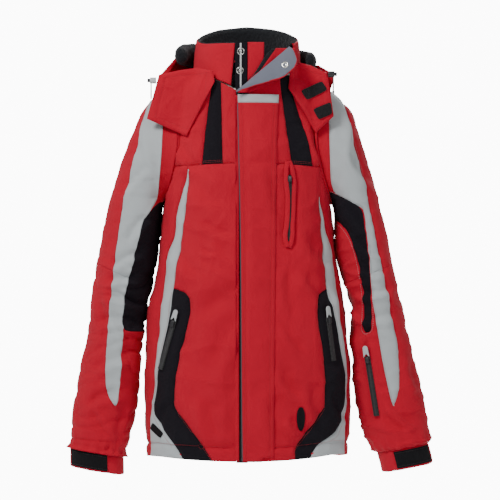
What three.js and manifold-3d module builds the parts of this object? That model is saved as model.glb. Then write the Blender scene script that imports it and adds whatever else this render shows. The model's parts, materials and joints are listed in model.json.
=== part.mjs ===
// A man's insulated ski jacket, zipped up and filled out as it is when worn, as separate garment pieces.
// Units are millimetres, +Z is up, +Y is the back and +X is the wearer's left.
// The pattern is laid out from the hem (z = 0). The exported group is moved so that its origin is the
// underside of the hanging loop inside the back of the collar, where a hook carries the jacket.
import * as THREE from "three";
import { mergeVertices } from "three/addons/utils/BufferGeometryUtils.js";
import Module from "manifold-3d";

const wasm = await Module();
wasm.setup();

// ---------- driving dimensions ----------
const BODY_LENGTH = 742; // hem to the neck seam at the back
const HEM_HALF_WIDTH = 193;
const CHEST_HALF_WIDTH = 161;
const FRONT_DEPTH_AT_HEM = 136; // how far the front stands out before the shoulder line
const FRONT_LEAN = 0.048; // the front leans back by this share of its height
const SECTION_POWER = 2.4; // roundness of the body's cross-section: 2 is an ellipse
const SHELL = 3; // outer fabric panels
const PADDING = 6; // insulation
const LINING = 2;
const GAP = 0.4; // clearance between neighbouring pieces
const SEAM = 0.5; // clearance across a seam between two panels
const NECK_GAP = 0.6; // between the collar and the panels below it
const LAYER_GAP = 2.6; // room between the shell panels and the insulation
const SLEEVE_SEAM = 2.2; // clearance of a sleeve's head round the armhole
const CHEST_SEAM = 555; // height of the seam across the chest
const RIGHT_STRIPE_TOP = 540;
const LEFT_STRIPE_TOP = 490;
const POCKET_TOP = 330;
const FRONT_NECK = 700; // height of the neck seam at the centre front
const COLLAR_HEIGHT = 95; // at the back
const COLLAR_HALF_WIDTH = 98;
const COLLAR_FRONT = -94;
const COLLAR_BACK = 58;
const COLLAR_ROUNDNESS = 2.1;
const FLEECE_THICKNESS = 4;
const SNAP_BAND_X = -12; // the black band under the collar's snaps
const SNAP_BAND_WIDTH = 23;
const PLACKET_END_X = 31; // where the guard behind the open collar ends
const LAPEL_LIFT = 4;
const LAPEL_GAP = 1.2;
const SNAP_SHARES = { lower: 0.4, upper: 0.82 }; // how far up the collar each stud sits
const ARM_Y = 6; // middle of the armhole, front to back
const ARM_Z = 604; // and its height
const ARMHOLE_HEIGHT = 190;
const ARMHOLE_DEPTH = 104;
const ARMHOLE_REACH = 130;
const SLEEVE_HEAD_HEIGHT = 222;
const SLEEVE_HEAD_DEPTH = 144;
const SLEEVE_WALL = 8; // shell, padding and lining of a sleeve together
const CUFF_WALL = 4;
const TAB_THICKNESS = 2.5;
const TAB_GAP = 1;
const ZIP_X = -10; // the front zip lies a little to the wearer's right of the middle
const ZIP_TAPE_WIDTH = 22;
const ZIP_TAPE_THICKNESS = 1.2;
const TEETH_WIDTH = 5;
const TEETH_THICKNESS = 2.2;
const SLIDER_LENGTH = 13;
const SLIDER_WIDTH = 10;
const SLIDER_THICKNESS = 5;
const SLIDER_HEIGHT = 682; // the slider rests at the top of the zip, under the storm flap
const FLAP_FREE_X = -18;
const FLAP_SEWN_X = 66;
const FLAP_THICKNESS = 3;
const FLAP_CLEARANCE = 7; // room under the flap for the zip slider
const FLAP_TOP = FRONT_NECK - 2;
const FLAP_STANDOFF = 9;
const FLAP_OUTLINE = [[0, 0], [129, 0], [133, 16], [124, 31], [108, 40], [88, 40], [58, 27], [28, 12]];
const SOCKET_ON_FLAP = [101, 24];
const SNAP_RADIUS = 7;
const SNAP_HEIGHT = 2.5;
const SNAP_POST_RADIUS = 2.6;
const SNAP_POST_HEIGHT = 2;
const SOCKET_BORE = 3;
const LOOP_WIDTH = 70;
const LOOP_DROP = 22;
const LOOP_TAPE = 8;
const LOOP_THICKNESS = 2.4;
const POCKET_ZIP_WIDTH = 10;
const POCKET_ZIP_THICKNESS = 1.6;
const POCKET_SLIDER_WIDTH = 8;
const POCKET_SLIDER_LENGTH = 11;
const POCKET_SLIDER_THICKNESS = 3.5;
const PULL_LENGTH = 23;
const PULL_WIDTH = 12;
const PULL_THICKNESS = 2.4;
const LOCK_RADIUS = 6;
const LOCK_LENGTH = 12;
const LOCK_BORE_DEPTH = 9;
const BUTTON_RADIUS = 3.6;
const BUTTON_LENGTH = 10;
const BUTTON_OUT = 5; // how far the button stands out of its lock
const BUTTON_CLEARANCE = 0.4;
const CORD_RADIUS = 1.25;
const YOKE_ROWS = 8;
const LAYER_ROWS = 10;
const LAYER_COLUMNS = 26;
const SLEEVE_SIDES = 16;
const LAYER_TRIM = 1; // the inner layers stop this far short of the hem and the neck seam
const PULL_NOTCH = 7;
const ZIP_STEPS = 8;
const TAB_START = 28; // degrees round the cuff from its outer side
const TAB_END = 128;
const HOOD_WALL = 7;
const HOOD_FLAP_THICKNESS = 8;
const HOOD_FLAP_GAP = 2.2;
const HOOD_REST = 4;
const ROLL_SEAM = 2; // the shell's top edge lies this far inside the roll's widest line
const LEFT_FLAP_SINK = 0.9; // the wearer's left hood flap lies this much closer to the jacket
const SLEEVE_HEAD_X = 130;
const COLLAR_SPREAD = 12; // the collar's open front stands out this far round its foot
const HOOD_CLEARANCE = 6;
const HOOD_SIDE_Z = 738;
const HOOD_LOW_Z = 566;
const HOOD_HALF_WIDTH = 168;
const HOOD_BELLY = 26;
const ROLL_RADIUS = 18;
const ROLL_RISE = 26;
const ROLL_HEIGHT = 776;
const ROLL_START = 78; // degrees round from the centre front
const FLAP_REST = 66;
const RIGHT_FLAP = [[-169, 738], [-74, 748], [-108, 622], [-192, 654]];
const LEFT_FLAP = [[87, 756], [152, 742], [167, 662], [131, 628]];
const LOCKS = { right: [-174, -72, 727], left: [154.2, -72, 739] };
const CORD_STEPS = 24;
const CORD_SIDES = 8;
const CORD_OUT = 9.8; // the cord's holes are this far along the lock
const CORD_ROUTE = [
  [-3, 0], [-3.2, 3], [-5, 9], [-7, 17], [-6, 24], [0, 28], [6, 24], [7, 17], [5, 9], [3.2, 3], [3, 0],
];

const RED = 0xb3202c;
const GREY = 0xa9b0b2;
const BLACK = 0x1c1b20;
const FLEECE = 0x202124;
const STEEL = 0xb9bcbf;
const SLATE = 0x62656f;
const CREAM = 0xe6e4dc;
const X = new THREE.Vector3(1, 0, 0);
const Y = new THREE.Vector3(0, 1, 0);
const ONE = new THREE.Vector3(1, 1, 1);

// ---------- curves and solids ----------
// A smooth curve through [at, value] pairs that never overshoots them.
function through(pairs) {
  const n = pairs.length;
  const slope = pairs.slice(1).map(([at, value], i) => (value - pairs[i][1]) / (at - pairs[i][0]));
  const tangent = pairs.map((_, i) => {
    if (i === 0) return slope[0];
    if (i === n - 1) return slope[n - 2];
    return slope[i - 1] * slope[i] <= 0 ? 0 : (2 * slope[i - 1] * slope[i]) / (slope[i - 1] + slope[i]);
  });
  return (at) => {
    if (at <= pairs[0][0]) return pairs[0][1];
    if (at >= pairs[n - 1][0]) return pairs[n - 1][1];
    let i = 0;
    while (at > pairs[i + 1][0]) i += 1;
    const width = pairs[i + 1][0] - pairs[i][0];
    const t = (at - pairs[i][0]) / width;
    const h = [(1 + 2 * t) * (1 - t) ** 2, t * (1 - t) ** 2, t * t * (3 - 2 * t), t * t * (t - 1)];
    return h[0] * pairs[i][1] + h[1] * width * tangent[i] + h[2] * pairs[i + 1][1] + h[3] * width * tangent[i + 1];
  };
}

const mix = THREE.MathUtils.lerp;
const degrees = THREE.MathUtils.degToRad;

// A closed slab between two copies of the surface at(u, v, depth), which gives a point [x, y, z].
// With round set, u = 0 and u = 1 meet, so the slab is a tube.
function slab(at, columns, rows, outer, inner, round = false) {
  const width = round ? columns : columns + 1;
  const points = [];
  for (const depth of [outer, inner])
    for (let j = 0; j <= rows; j += 1)
      for (let i = 0; i < width; i += 1) points.push(...at(i / columns, j / rows, depth));
  const layer = width * (rows + 1);
  const id = (i, j, k) => k * layer + j * width + (round ? i % columns : i);
  const faces = [];
  const quad = (a, b, c, d) => faces.push(a, b, c, a, c, d);
  for (let j = 0; j < rows; j += 1)
    for (let i = 0; i < columns; i += 1) {
      quad(id(i, j, 0), id(i + 1, j, 0), id(i + 1, j + 1, 0), id(i, j + 1, 0));
      quad(id(i, j, 1), id(i, j + 1, 1), id(i + 1, j + 1, 1), id(i + 1, j, 1));
    }
  for (let i = 0; i < columns; i += 1) {
    quad(id(i, 0, 0), id(i, 0, 1), id(i + 1, 0, 1), id(i + 1, 0, 0));
    quad(id(i, rows, 0), id(i + 1, rows, 0), id(i + 1, rows, 1), id(i, rows, 1));
  }
  if (!round)
    for (let j = 0; j < rows; j += 1) {
      quad(id(0, j, 0), id(0, j + 1, 0), id(0, j + 1, 1), id(0, j, 1));
      quad(id(columns, j, 0), id(columns, j, 1), id(columns, j + 1, 1), id(columns, j + 1, 0));
    }
  return facingOut(points, faces);
}

// A geometry from points and faces, turned so that its faces point outwards.
function facingOut(points, faces) {
  let volume = 0;
  const corner = (n) => new THREE.Vector3(points[3 * n], points[3 * n + 1], points[3 * n + 2]);
  for (let i = 0; i < faces.length; i += 3)
    volume += corner(faces[i]).dot(corner(faces[i + 1]).cross(corner(faces[i + 2])));
  if (volume < 0)
    for (let i = 0; i < faces.length; i += 3) [faces[i + 1], faces[i + 2]] = [faces[i + 2], faces[i + 1]];
  const made = new THREE.BufferGeometry();
  made.setAttribute("position", new THREE.Float32BufferAttribute(points, 3));
  made.setIndex(faces);
  return made;
}

// A geometry as a manifold-3d solid.
function solid(geometry) {
  const bare = geometry.clone();
  bare.deleteAttribute("normal");
  bare.deleteAttribute("uv");
  const merged = mergeVertices(bare, 1e-4);
  return new wasm.Manifold(
    new wasm.Mesh({
      numProp: 3,
      vertProperties: merged.attributes.position.array,
      triVerts: new Uint32Array(merged.index.array),
    }),
  );
}

// A manifold-3d solid as a geometry again.
function geometryOf(made) {
  const mesh = made.getMesh();
  const back = new THREE.BufferGeometry();
  back.setAttribute("position", new THREE.Float32BufferAttribute(mesh.vertProperties, 3));
  back.setIndex(new THREE.BufferAttribute(mesh.triVerts, 1));
  return back;
}

function placed(geometry, place) {
  return geometry.clone().applyMatrix4(place);
}

function moved(geometry, x, y, z) {
  return geometry.clone().translate(x, y, z);
}

const garment = new THREE.Group();
const pattern = new THREE.Group();
garment.add(pattern);

function add(name, geometry, color, roughness = 0.8, metalness = 0) {
  const material = new THREE.MeshStandardMaterial({ color, roughness, metalness });
  const mesh = new THREE.Mesh(geometry, material);
  mesh.name = name;
  pattern.add(mesh);
  return mesh;
}

// ---------- the body's shape ----------
// Half-width, front, back and roundness of the body at each height.
const halfWidth = through([
  [0, HEM_HALF_WIDTH],
  [60, HEM_HALF_WIDTH + 3],
  [150, HEM_HALF_WIDTH + 3],
  [240, HEM_HALF_WIDTH - 2],
  [300, HEM_HALF_WIDTH - 10],
  [352, HEM_HALF_WIDTH - 19],
  [425, CHEST_HALF_WIDTH + 4],
  [490, CHEST_HALF_WIDTH],
  [600, CHEST_HALF_WIDTH],
  [690, CHEST_HALF_WIDTH + 1],
  [712, CHEST_HALF_WIDTH - 3],
  [724, CHEST_HALF_WIDTH - 14],
  [736, CHEST_HALF_WIDTH - 42],
  [BODY_LENGTH, COLLAR_HALF_WIDTH + 6],
]);
const frontLine = (z) => -FRONT_DEPTH_AT_HEM + FRONT_LEAN * z;
const backLine = through([
  [0, 126],
  [150, 120],
  [300, 116],
  [420, 124],
  [540, 130],
  [620, 124],
  [680, 108],
  [715, 86],
  [BODY_LENGTH, 68],
]);
const roundness = through([[0, SECTION_POWER], [560, SECTION_POWER], [690, 1.95], [BODY_LENGTH, 1.8]]);

// A closed rounded outline: the point at an angle, where 0 is the centre front and 90 the wearer's left.
function outline(angle, wide, front, back, power) {
  const s = Math.sin(angle);
  const c = Math.cos(angle);
  const x = wide * Math.sign(s) * Math.abs(s) ** (2 / power);
  const y = (front + back) / 2 - ((back - front) / 2) * Math.sign(c) * Math.abs(c) ** (2 / power);
  return [x, y];
}

// A point of the body at a height, an angle and a depth inwards.
function body(z, angle, depth) {
  const wide = halfWidth(z) - depth;
  return [...outline(angle, wide, frontLine(z) + depth, backLine(z) - depth, roundness(z)), z];
}

// The angle at which the body's front has this x, and the y of the front there.
function angleAt(x, z) {
  const share = Math.min(Math.abs(x) / halfWidth(z), 1);
  return Math.sign(x) * Math.asin(share ** (roundness(z) / 2));
}
const frontAt = (x, z) => body(z, angleAt(x, z), 0)[1];

// The x of the body's side at a y, to set a sleeve against it.
function sideAt(y, z) {
  const middle = (frontLine(z) + backLine(z)) / 2;
  const share = Math.min(Math.abs(y - middle) / ((backLine(z) - frontLine(z)) / 2), 0.98);
  return halfWidth(z) * (1 - share ** roundness(z)) ** (1 / roundness(z));
}

// The neck seam: it dips towards the front.
const seamHeight = through([
  [0, FRONT_NECK], [8, FRONT_NECK + 11], [16, FRONT_NECK + 21], [28, BODY_LENGTH - 12], [40, BODY_LENGTH - 6],
  [60, BODY_LENGTH - 2], [90, BODY_LENGTH], [180, BODY_LENGTH],
]);
// Degrees round from the centre front, the same on both sides.
function roundFromFront(angle) {
  const round = Math.abs(THREE.MathUtils.radToDeg(angle)) % 360;
  return round > 180 ? 360 - round : round;
}
const neckSeam = (angle) => seamHeight(roundFromFront(angle));

// The heights at which the panels below the chest seam have their rows, so that neighbours meet.
const LEVELS = [
  0, 14, 30, 48, 66, 86, 108, 132, 160, 190, 225, 260, 292, 310, 322, POCKET_TOP, 352, 380, 410, 440, 465,
  LEFT_STRIPE_TOP, 515, RIGHT_STRIPE_TOP, CHEST_SEAM,
];

// A panel of the body between two edges, each a function of height that gives an angle. It runs from the
// height low to the height high, or on from the chest seam to the neck seam.
function panel(from, to, low, high, columns, outer = 0, inner = SHELL, trim = SEAM / 2) {
  const toNeck = high === NECK;
  const between = LEVELS.filter((z) => z > low && z < high);
  const rows = toNeck ? YOKE_ROWS : between.length + 1;
  const heights = [low + trim, ...between, high - trim];
  const seam = (u, z) => {
    const room = SEAM / 2 / halfWidth(Math.min(z, CHEST_SEAM));
    return mix(from(z) + room, to(z) - room, u);
  };
  return slab(
    (u, v, depth) => {
      if (!toNeck) {
        const z = heights[Math.round(v * rows)];
        return body(z, seam(u, z), depth);
      }
      let top = FRONT_NECK;
      for (let turn = 0; turn < 9; turn += 1) top = (top + neckSeam(seam(u, top))) / 2;
      const z = mix(low + trim, top - trim, v);
      return body(z, seam(u, z), depth);
    },
    columns,
    rows,
    outer,
    inner,
  );
}

const fixed = (angle) => () => degrees(angle);
const edge = (pairs) => {
  const x = through(pairs);
  return (z) => angleAt(x(z), z);
};

// ---------- seam lines of the front, as [height, x] ----------
const zipRight = (z) => angleAt(ZIP_X - ZIP_TAPE_WIDTH / 2, z);
const zipLeft = (z) => angleAt(ZIP_X + ZIP_TAPE_WIDTH / 2, z);

const rightStripeOuter = edge([
  [0, -187], [40, -188], [150, -180], [300, -167], [350, -159], [400, -152], [430, -140], [480, -134],
  [545, -112],
]);
const rightStripeInner = edge([
  [0, -122], [22, -136], [55, -160], [100, -179], [140, -176], [190, -168], [260, -152], [330, -141],
  [400, -130], [480, -119], [545, -108],
]);
const rightPocketInner = edge([
  [0, -66], [30, -86], [70, -115], [110, -140], [150, -138], [210, -127], [260, -114], [290, -109],
  [310, -110], [322, -119], [POCKET_TOP, -137],
]);

const leftStripeOuter = edge([
  [0, 187], [40, 189], [110, 192], [190, 190], [270, 180], [340, 170], [400, 163], [440, 152], [490, 140],
]);
const leftStripeInner = edge([
  [0, 119], [22, 132], [50, 171], [85, 184], [120, 189], [150, 188], [210, 179], [280, 166], [330, 154],
  [400, 148], [440, 143], [490, 138],
]);
const leftPocketInner = edge([
  [0, 90], [20, 91], [45, 106], [65, 122], [85, 137], [105, 147], [150, 148], [210, 144], [260, 136],
  [300, 134], [320, 141], [POCKET_TOP, 150],
]);

const rightYokeStripeOuter = edge([[CHEST_SEAM, -84], [620, -76], [700, -64]]);
const rightYokeStripeInner = edge([[CHEST_SEAM, -47], [620, -48], [700, -49]]);
const leftYokeStripeInner = edge([[CHEST_SEAM, 87], [620, 77], [700, 66]]);
const leftYokeStripeOuter = edge([[CHEST_SEAM, 121], [620, 108], [700, 90]]);

const NECK = "neck"; // a panel that runs up to the neck seam
const SIDE_SEAM = 112; // degrees round from the centre front

// The hole through which an arm passes into a sleeve.
function armhole(side) {
  const hole = new THREE.CylinderGeometry(1, 1, ARMHOLE_REACH, 20).rotateZ(Math.PI / 2);
  hole.scale(1, ARMHOLE_HEIGHT / 2, ARMHOLE_DEPTH / 2).rotateX(Math.PI / 2);
  return solid(moved(hole, side * CHEST_HALF_WIDTH, ARM_Y, ARM_Z));
}

const withArmhole = (side, geometry) => geometryOf(solid(geometry).subtract(armhole(side)));
const withArmholes = (geometry) => withArmhole(1, withArmhole(-1, geometry));

function bodyPanels() {
  const upTo = (stripe, top) => (z) => stripe(Math.min(z, top));

  // wearer's right
  const rightFrontEdge = (z) => (z <= POCKET_TOP ? rightPocketInner(z) : rightStripeInner(z));
  add("right_front_panel", panel(rightFrontEdge, zipRight, 0, CHEST_SEAM, 4), RED);
  add("right_pocket_panel", panel(rightStripeInner, rightPocketInner, 0, POCKET_TOP, 3), BLACK);
  add("right_side_stripe", panel(rightStripeOuter, rightStripeInner, 0, RIGHT_STRIPE_TOP, 2), GREY);
  const rightSide = panel(fixed(-SIDE_SEAM), upTo(rightStripeOuter, RIGHT_STRIPE_TOP), 0, CHEST_SEAM, 4);
  add("right_side_panel", withArmhole(-1, rightSide), RED);
  add("right_yoke_front", panel(rightYokeStripeInner, zipRight, CHEST_SEAM, NECK, 3), RED);
  add("right_yoke_stripe", panel(rightYokeStripeOuter, rightYokeStripeInner, CHEST_SEAM, NECK, 2), BLACK);
  const rightYoke = panel(fixed(-180), rightYokeStripeOuter, CHEST_SEAM, NECK, 12);
  add("right_yoke_side", withArmhole(-1, rightYoke), RED);

  // wearer's left
  const leftFrontEdge = (z) => (z <= POCKET_TOP ? leftPocketInner(z) : leftStripeInner(z));
  const leftFront = (z) => leftFrontEdge(Math.min(z, LEFT_STRIPE_TOP));
  add("left_front_panel", panel(zipLeft, leftFront, 0, CHEST_SEAM, 5), RED);
  add("left_pocket_panel", panel(leftPocketInner, leftStripeInner, 0, POCKET_TOP, 3), BLACK);
  add("left_side_stripe", panel(leftStripeInner, leftStripeOuter, 0, LEFT_STRIPE_TOP, 2), GREY);
  const leftSide = panel(upTo(leftStripeOuter, LEFT_STRIPE_TOP), fixed(SIDE_SEAM), 0, CHEST_SEAM, 4);
  add("left_side_panel", withArmhole(1, leftSide), RED);
  add("left_yoke_front", panel(zipLeft, leftYokeStripeInner, CHEST_SEAM, NECK, 3), RED);
  add("left_yoke_stripe", panel(leftYokeStripeInner, leftYokeStripeOuter, CHEST_SEAM, NECK, 2), BLACK);
  const leftYoke = panel(leftYokeStripeOuter, fixed(180), CHEST_SEAM, NECK, 12);
  add("left_yoke_side", withArmhole(1, leftYoke), RED);

  add("back_panel", panel(fixed(SIDE_SEAM), fixed(360 - SIDE_SEAM), 0, CHEST_SEAM, 8), RED);
}

// Insulation and lining: nested tubes, open at the hem, the neck, the armholes and the front zip.
function innerLayers() {
  const end = (z) => 2 * Math.PI + zipRight(z);
  const layer = (outer, inner) => {
    return slab(
      (u, v, depth) => {
        const rough = mix(zipLeft(CHEST_SEAM), end(CHEST_SEAM), u);
        const z = mix(LAYER_TRIM, neckSeam(rough) - LAYER_TRIM, v);
        return body(z, mix(zipLeft(z), end(z), u), depth);
      },
      LAYER_COLUMNS,
      LAYER_ROWS,
      outer,
      inner,
    );
  };
  const first = SHELL + LAYER_GAP;
  add("insulation", withArmholes(layer(first, first + PADDING)), CREAM, 0.95);
  const second = first + PADDING + GAP;
  add("body_lining", withArmholes(layer(second, second + LINING)), BLACK, 0.6);
}

// ---------- front zip and storm flap ----------
const frontSlope = new THREE.Vector3(0, FRONT_LEAN, 1).normalize();
const frontOut = new THREE.Vector3(0, -frontSlope.z, frontSlope.y);

// A box that lies along the centre front, its middle standing off the front line by the given distance.
function alongFront(low, high, width, thickness, off) {
  const box = new THREE.BoxGeometry(width, thickness, (high - low) / frontSlope.z);
  const place = new THREE.Matrix4().makeBasis(X, frontOut.clone().negate(), frontSlope);
  const middle = (low + high) / 2;
  const at = new THREE.Vector3(ZIP_X, frontLine(middle), middle).addScaledVector(frontOut, off);
  return placed(box, place.setPosition(at));
}

const zipFace = TEETH_THICKNESS - SHELL / 2; // how far the teeth stand out of the front line

function frontZip() {
  const tapeWidth = ZIP_TAPE_WIDTH - 2 * SEAM;
  const tape = alongFront(1, FRONT_NECK - 2, tapeWidth, ZIP_TAPE_THICKNESS, -SHELL / 2);
  const teeth = alongFront(3, FRONT_NECK - 4, TEETH_WIDTH, TEETH_THICKNESS, zipFace - TEETH_THICKNESS / 2);
  add("front_zip", geometryOf(solid(tape).add(solid(teeth))), BLACK, 0.5);
  const low = SLIDER_HEIGHT - SLIDER_LENGTH / 2;
  const high = SLIDER_HEIGHT + SLIDER_LENGTH / 2;
  const off = zipFace + GAP + SLIDER_THICKNESS / 2;
  add("zip_slider", alongFront(low, high, SLIDER_WIDTH, SLIDER_THICKNESS, off), STEEL, 0.3, 0.9);
}

// The flap lies over the zip. Its sewn edge meets the front; the rest stands clear of the slider.
function stormFlap() {
  const lift = (u) => mix(FLAP_CLEARANCE, GAP, Math.max(0, (u - 0.55) / 0.45) ** 2);
  const flap = slab(
    (u, v, depth) => {
      const x = mix(FLAP_FREE_X, FLAP_SEWN_X, u);
      const z = mix(2, FLAP_TOP, v);
      return [x, frontAt(x, z) - lift(u) - FLAP_THICKNESS + depth, z];
    },
    6,
    8,
    0,
    FLAP_THICKNESS,
  );
  add("storm_flap", flap, RED);
}

// ---------- collar ----------
const collarTop = BODY_LENGTH + COLLAR_HEIGHT;
const COLLAR_TOP = through([
  [0, collarTop - 40], [45, collarTop - 40], [80, collarTop - 34], [110, collarTop - 22], [150, collarTop - 6],
  [180, collarTop],
]);

// A point of the collar: v runs from the neck seam to the top edge.
function collar(v, angle, depth) {
  const foot = body(neckSeam(angle), angle, depth);
  const back = COLLAR_BACK - depth;
  const wide = COLLAR_HALF_WIDTH - depth;
  const head = outline(angle, wide, COLLAR_FRONT + depth, back, COLLAR_ROUNDNESS);
  const top = COLLAR_TOP(roundFromFront(angle));
  return [mix(foot[0], head[0], v), mix(foot[1], head[1], v), mix(foot[2] + NECK_GAP, top, v)];
}

// The collar's angle where its front has this x, half way up.
const collarAngle = (x) => Math.sign(x) * Math.asin((Math.abs(x) / COLLAR_HALF_WIDTH) ** (COLLAR_ROUNDNESS / 2));

function collarPart(from, to, columns, outer, inner, low = 0, high = 1) {
  return slab((u, v, depth) => collar(mix(low, high, v), mix(from, to, u), depth), columns, 3, outer, inner);
}

const PLACKET_RIGHT = collarAngle(SNAP_BAND_X - SNAP_BAND_WIDTH / 2);
const PLACKET_END = collarAngle(PLACKET_END_X);
const COLLAR_START = degrees(62); // where the wearer's left front of the collar begins
const SEAM_ANGLE = SEAM / COLLAR_HALF_WIDTH;

function collarPieces() {
  const round = 2 * Math.PI + PLACKET_RIGHT - SEAM_ANGLE;
  add("collar_shell", collarPart(COLLAR_START, round, 22, 0, SHELL), RED);
  const inside = SHELL + GAP;
  add("collar_lining", collarPart(COLLAR_START, round, 22, inside, inside + FLEECE_THICKNESS), FLEECE, 0.98);
  add("collar_guard", collarPart(PLACKET_RIGHT, PLACKET_END, 5, 0, SHELL), RED);

  // the open front of the collar, with its slanting edge: it stands off the guard that it overlaps
  const slant = through([[0, -16], [0.36, 12], [0.8, 48], [1, 84]]);
  const lapel = slab(
    (u, v, depth) => {
      const angle = mix(collarAngle(slant(v)), COLLAR_START + degrees(14), u);
      return collar(v, angle, depth - mix(LAPEL_LIFT, LAPEL_GAP, Math.min(1, u * 1.6)));
    },
    6,
    5,
    -SHELL,
    0,
  );
  add("collar_lapel", lapel, RED);
}

// A round stud with a waist: a base, a post and a ball that the socket springs over.
function studProfile() {
  const points = [
    [0, 0], [SNAP_RADIUS, 0], [SNAP_RADIUS, SNAP_HEIGHT], [SNAP_POST_RADIUS, SNAP_HEIGHT],
    [SNAP_POST_RADIUS, SNAP_HEIGHT + SNAP_POST_HEIGHT], [0, SNAP_HEIGHT + SNAP_POST_HEIGHT],
  ];
  return new THREE.LatheGeometry(points.map(([r, h]) => new THREE.Vector2(r, h)), 16);
}

// Stands a turned piece, made along +Y, on a point of a surface with the given outward direction.
function standing(geometry, point, out, off = 0) {
  const turn = new THREE.Quaternion().setFromUnitVectors(Y, out);
  const at = point.clone().addScaledVector(out, off);
  return placed(geometry, new THREE.Matrix4().compose(at, turn, ONE));
}

function snapStuds() {
  for (const [name, share] of Object.entries(SNAP_SHARES)) {
    const point = new THREE.Vector3(...collar(share, collarAngle(SNAP_BAND_X), 0));
    const above = new THREE.Vector3(...collar(share + 0.1, collarAngle(SNAP_BAND_X), 0));
    const out = new THREE.Vector3(0, -(above.z - point.z), above.y - point.y).normalize();
    add(`${name}_snap_stud`, standing(studProfile(), point, out, GAP), STEEL, 0.3, 0.9);
  }
}

// ---------- collar flap: the top of the storm flap, folded open ----------
const flapFoot = new THREE.Vector3(-19, collar(0.02, collarAngle(-19), 0)[1] - FLAP_STANDOFF - 3, FLAP_TOP + 5);
const flapHead = new THREE.Vector3(74, frontAt(74, 690) - 4, FLAP_TOP + 84);
const flapAxis = flapHead.clone().sub(flapFoot).normalize();
const flapDown = new THREE.Vector3(0.42, -0.34, -0.84);
flapDown.addScaledVector(flapAxis, -flapDown.dot(flapAxis)).normalize();
const flapOut = flapDown.clone().cross(flapAxis).normalize(); // towards the front

function collarFlap() {
  const shape = new THREE.Shape(FLAP_OUTLINE.map(([along, down]) => new THREE.Vector2(along, down)));
  const plate = new THREE.ExtrudeGeometry(shape, { depth: FLAP_THICKNESS, bevelEnabled: false });
  plate.translate(0, 0, -FLAP_THICKNESS);
  const place = new THREE.Matrix4().makeBasis(flapAxis, flapDown, flapOut.clone().negate());
  add("collar_flap", placed(plate, place.setPosition(flapFoot)), SLATE, 0.85);
  const [along, down] = SOCKET_ON_FLAP;
  const point = flapFoot.clone().addScaledVector(flapAxis, along).addScaledVector(flapDown, down);
  const ring = new THREE.LatheGeometry(
    [[SOCKET_BORE, 0], [SNAP_RADIUS, 0], [SNAP_RADIUS, SNAP_HEIGHT], [SOCKET_BORE, SNAP_HEIGHT], [SOCKET_BORE, 0]]
      .map(([r, h]) => new THREE.Vector2(r, h)),
    16,
  );
  add("snap_socket", standing(ring, point, flapOut, FLAP_THICKNESS + GAP), STEEL, 0.3, 0.9);
}

// ---------- sleeves ----------
// Cross-sections of the sleeves from the shoulder to the wrist: the outer and the inner point as seen from
// the front [x, z, x, z], then half the front-to-back depth and the middle's y.
const SLEEVES = {
  right: [
    [-205, 672, -168, 482, 72, 6],
    [-231, 612, -169, 458, 70, 6],
    [-250, 556, -171, 430, 68, 5],
    [-267, 498, -175, 396, 66, 4],
    [-284, 422, -182, 352, 64, 2],
    [-297, 352, -189, 318, 61, 0],
    [-303, 300, -196, 292, 60, -2],
    [-310, 232, -203, 222, 58, -6],
    [-322, 180, -205, 168, 57, -9],
    [-333, 118, -211, 104, 55, -12],
    [-341, 61, -224, 46, 51, -14],
    [-344, 24, -236, 6, 47, -15],
  ],
  left: [
    [203, 674, 168, 482, 72, 6],
    [222, 606, 168, 458, 70, 6],
    [238, 548, 169, 430, 68, 5],
    [252, 498, 171, 400, 66, 4],
    [269, 422, 180, 366, 64, 2],
    [284, 346, 194, 322, 61, 0],
    [294, 300, 201, 292, 60, -2],
    [309, 232, 203, 222, 58, -6],
    [329, 162, 205, 150, 57, -9],
    [337, 118, 212, 104, 55, -12],
    [347, 66, 228, 46, 51, -14],
    [351, 32, 248, 12, 47, -15],
  ],
};
const ELBOW_SECTION = 6; // the section at which the sleeve bends
const CUFF_DROP = { right: [1, -35], left: [9, -36] };

// The point of a sleeve at a place along its sections, an angle (0 is outside, 90 the front) and a depth.
function sleeveSurface(side) {
  const sections = SLEEVES[side];
  const columns = sections[0].map((_, i) => through(sections.map((row, n) => [n, row[i]])));
  return (at, angle, depth) => {
    const [ox, oz, ix, iz, half, y] = columns.map((column) => column(at));
    const across = new THREE.Vector2(ox - ix, oz - iz).multiplyScalar(0.5);
    const share = ((across.length() - depth) / across.length()) * Math.cos(angle);
    const x = (ox + ix) / 2 + across.x * share;
    const z = (oz + iz) / 2 + across.y * share;
    return [x, y - (half - depth) * Math.sin(angle), z];
  };
}

const TURN = 2 * Math.PI;
const sideSign = { right: -1, left: 1 };

// The head of a sleeve belongs to the body: it runs from the armhole seam to the first section.
function sleeveHead(side) {
  const sleeve = sleeveSurface(side);
  return slab(
    (u, v, depth) => {
      const angle = u * TURN;
      const y = ARM_Y - (SLEEVE_HEAD_DEPTH / 2 - depth) * Math.sin(angle);
      const z = ARM_Z + (SLEEVE_HEAD_HEIGHT / 2 - depth) * Math.cos(angle);
      const x = sideSign[side] * (sideAt(y, z) + SLEEVE_SEAM);
      const end = sleeve(0, angle, depth);
      return [mix(x, end[0], v), mix(y, end[1], v), mix(z, end[2], v)];
    },
    SLEEVE_SIDES,
    2,
    0,
    SLEEVE_WALL,
    true,
  );
}

function sleeveTube(side, from, to, rows) {
  const sleeve = sleeveSurface(side);
  const at = (v) => mix(from, to, v);
  return slab((u, v, depth) => sleeve(at(v), u * TURN, depth), SLEEVE_SIDES, rows, 0, SLEEVE_WALL, true);
}

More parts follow.
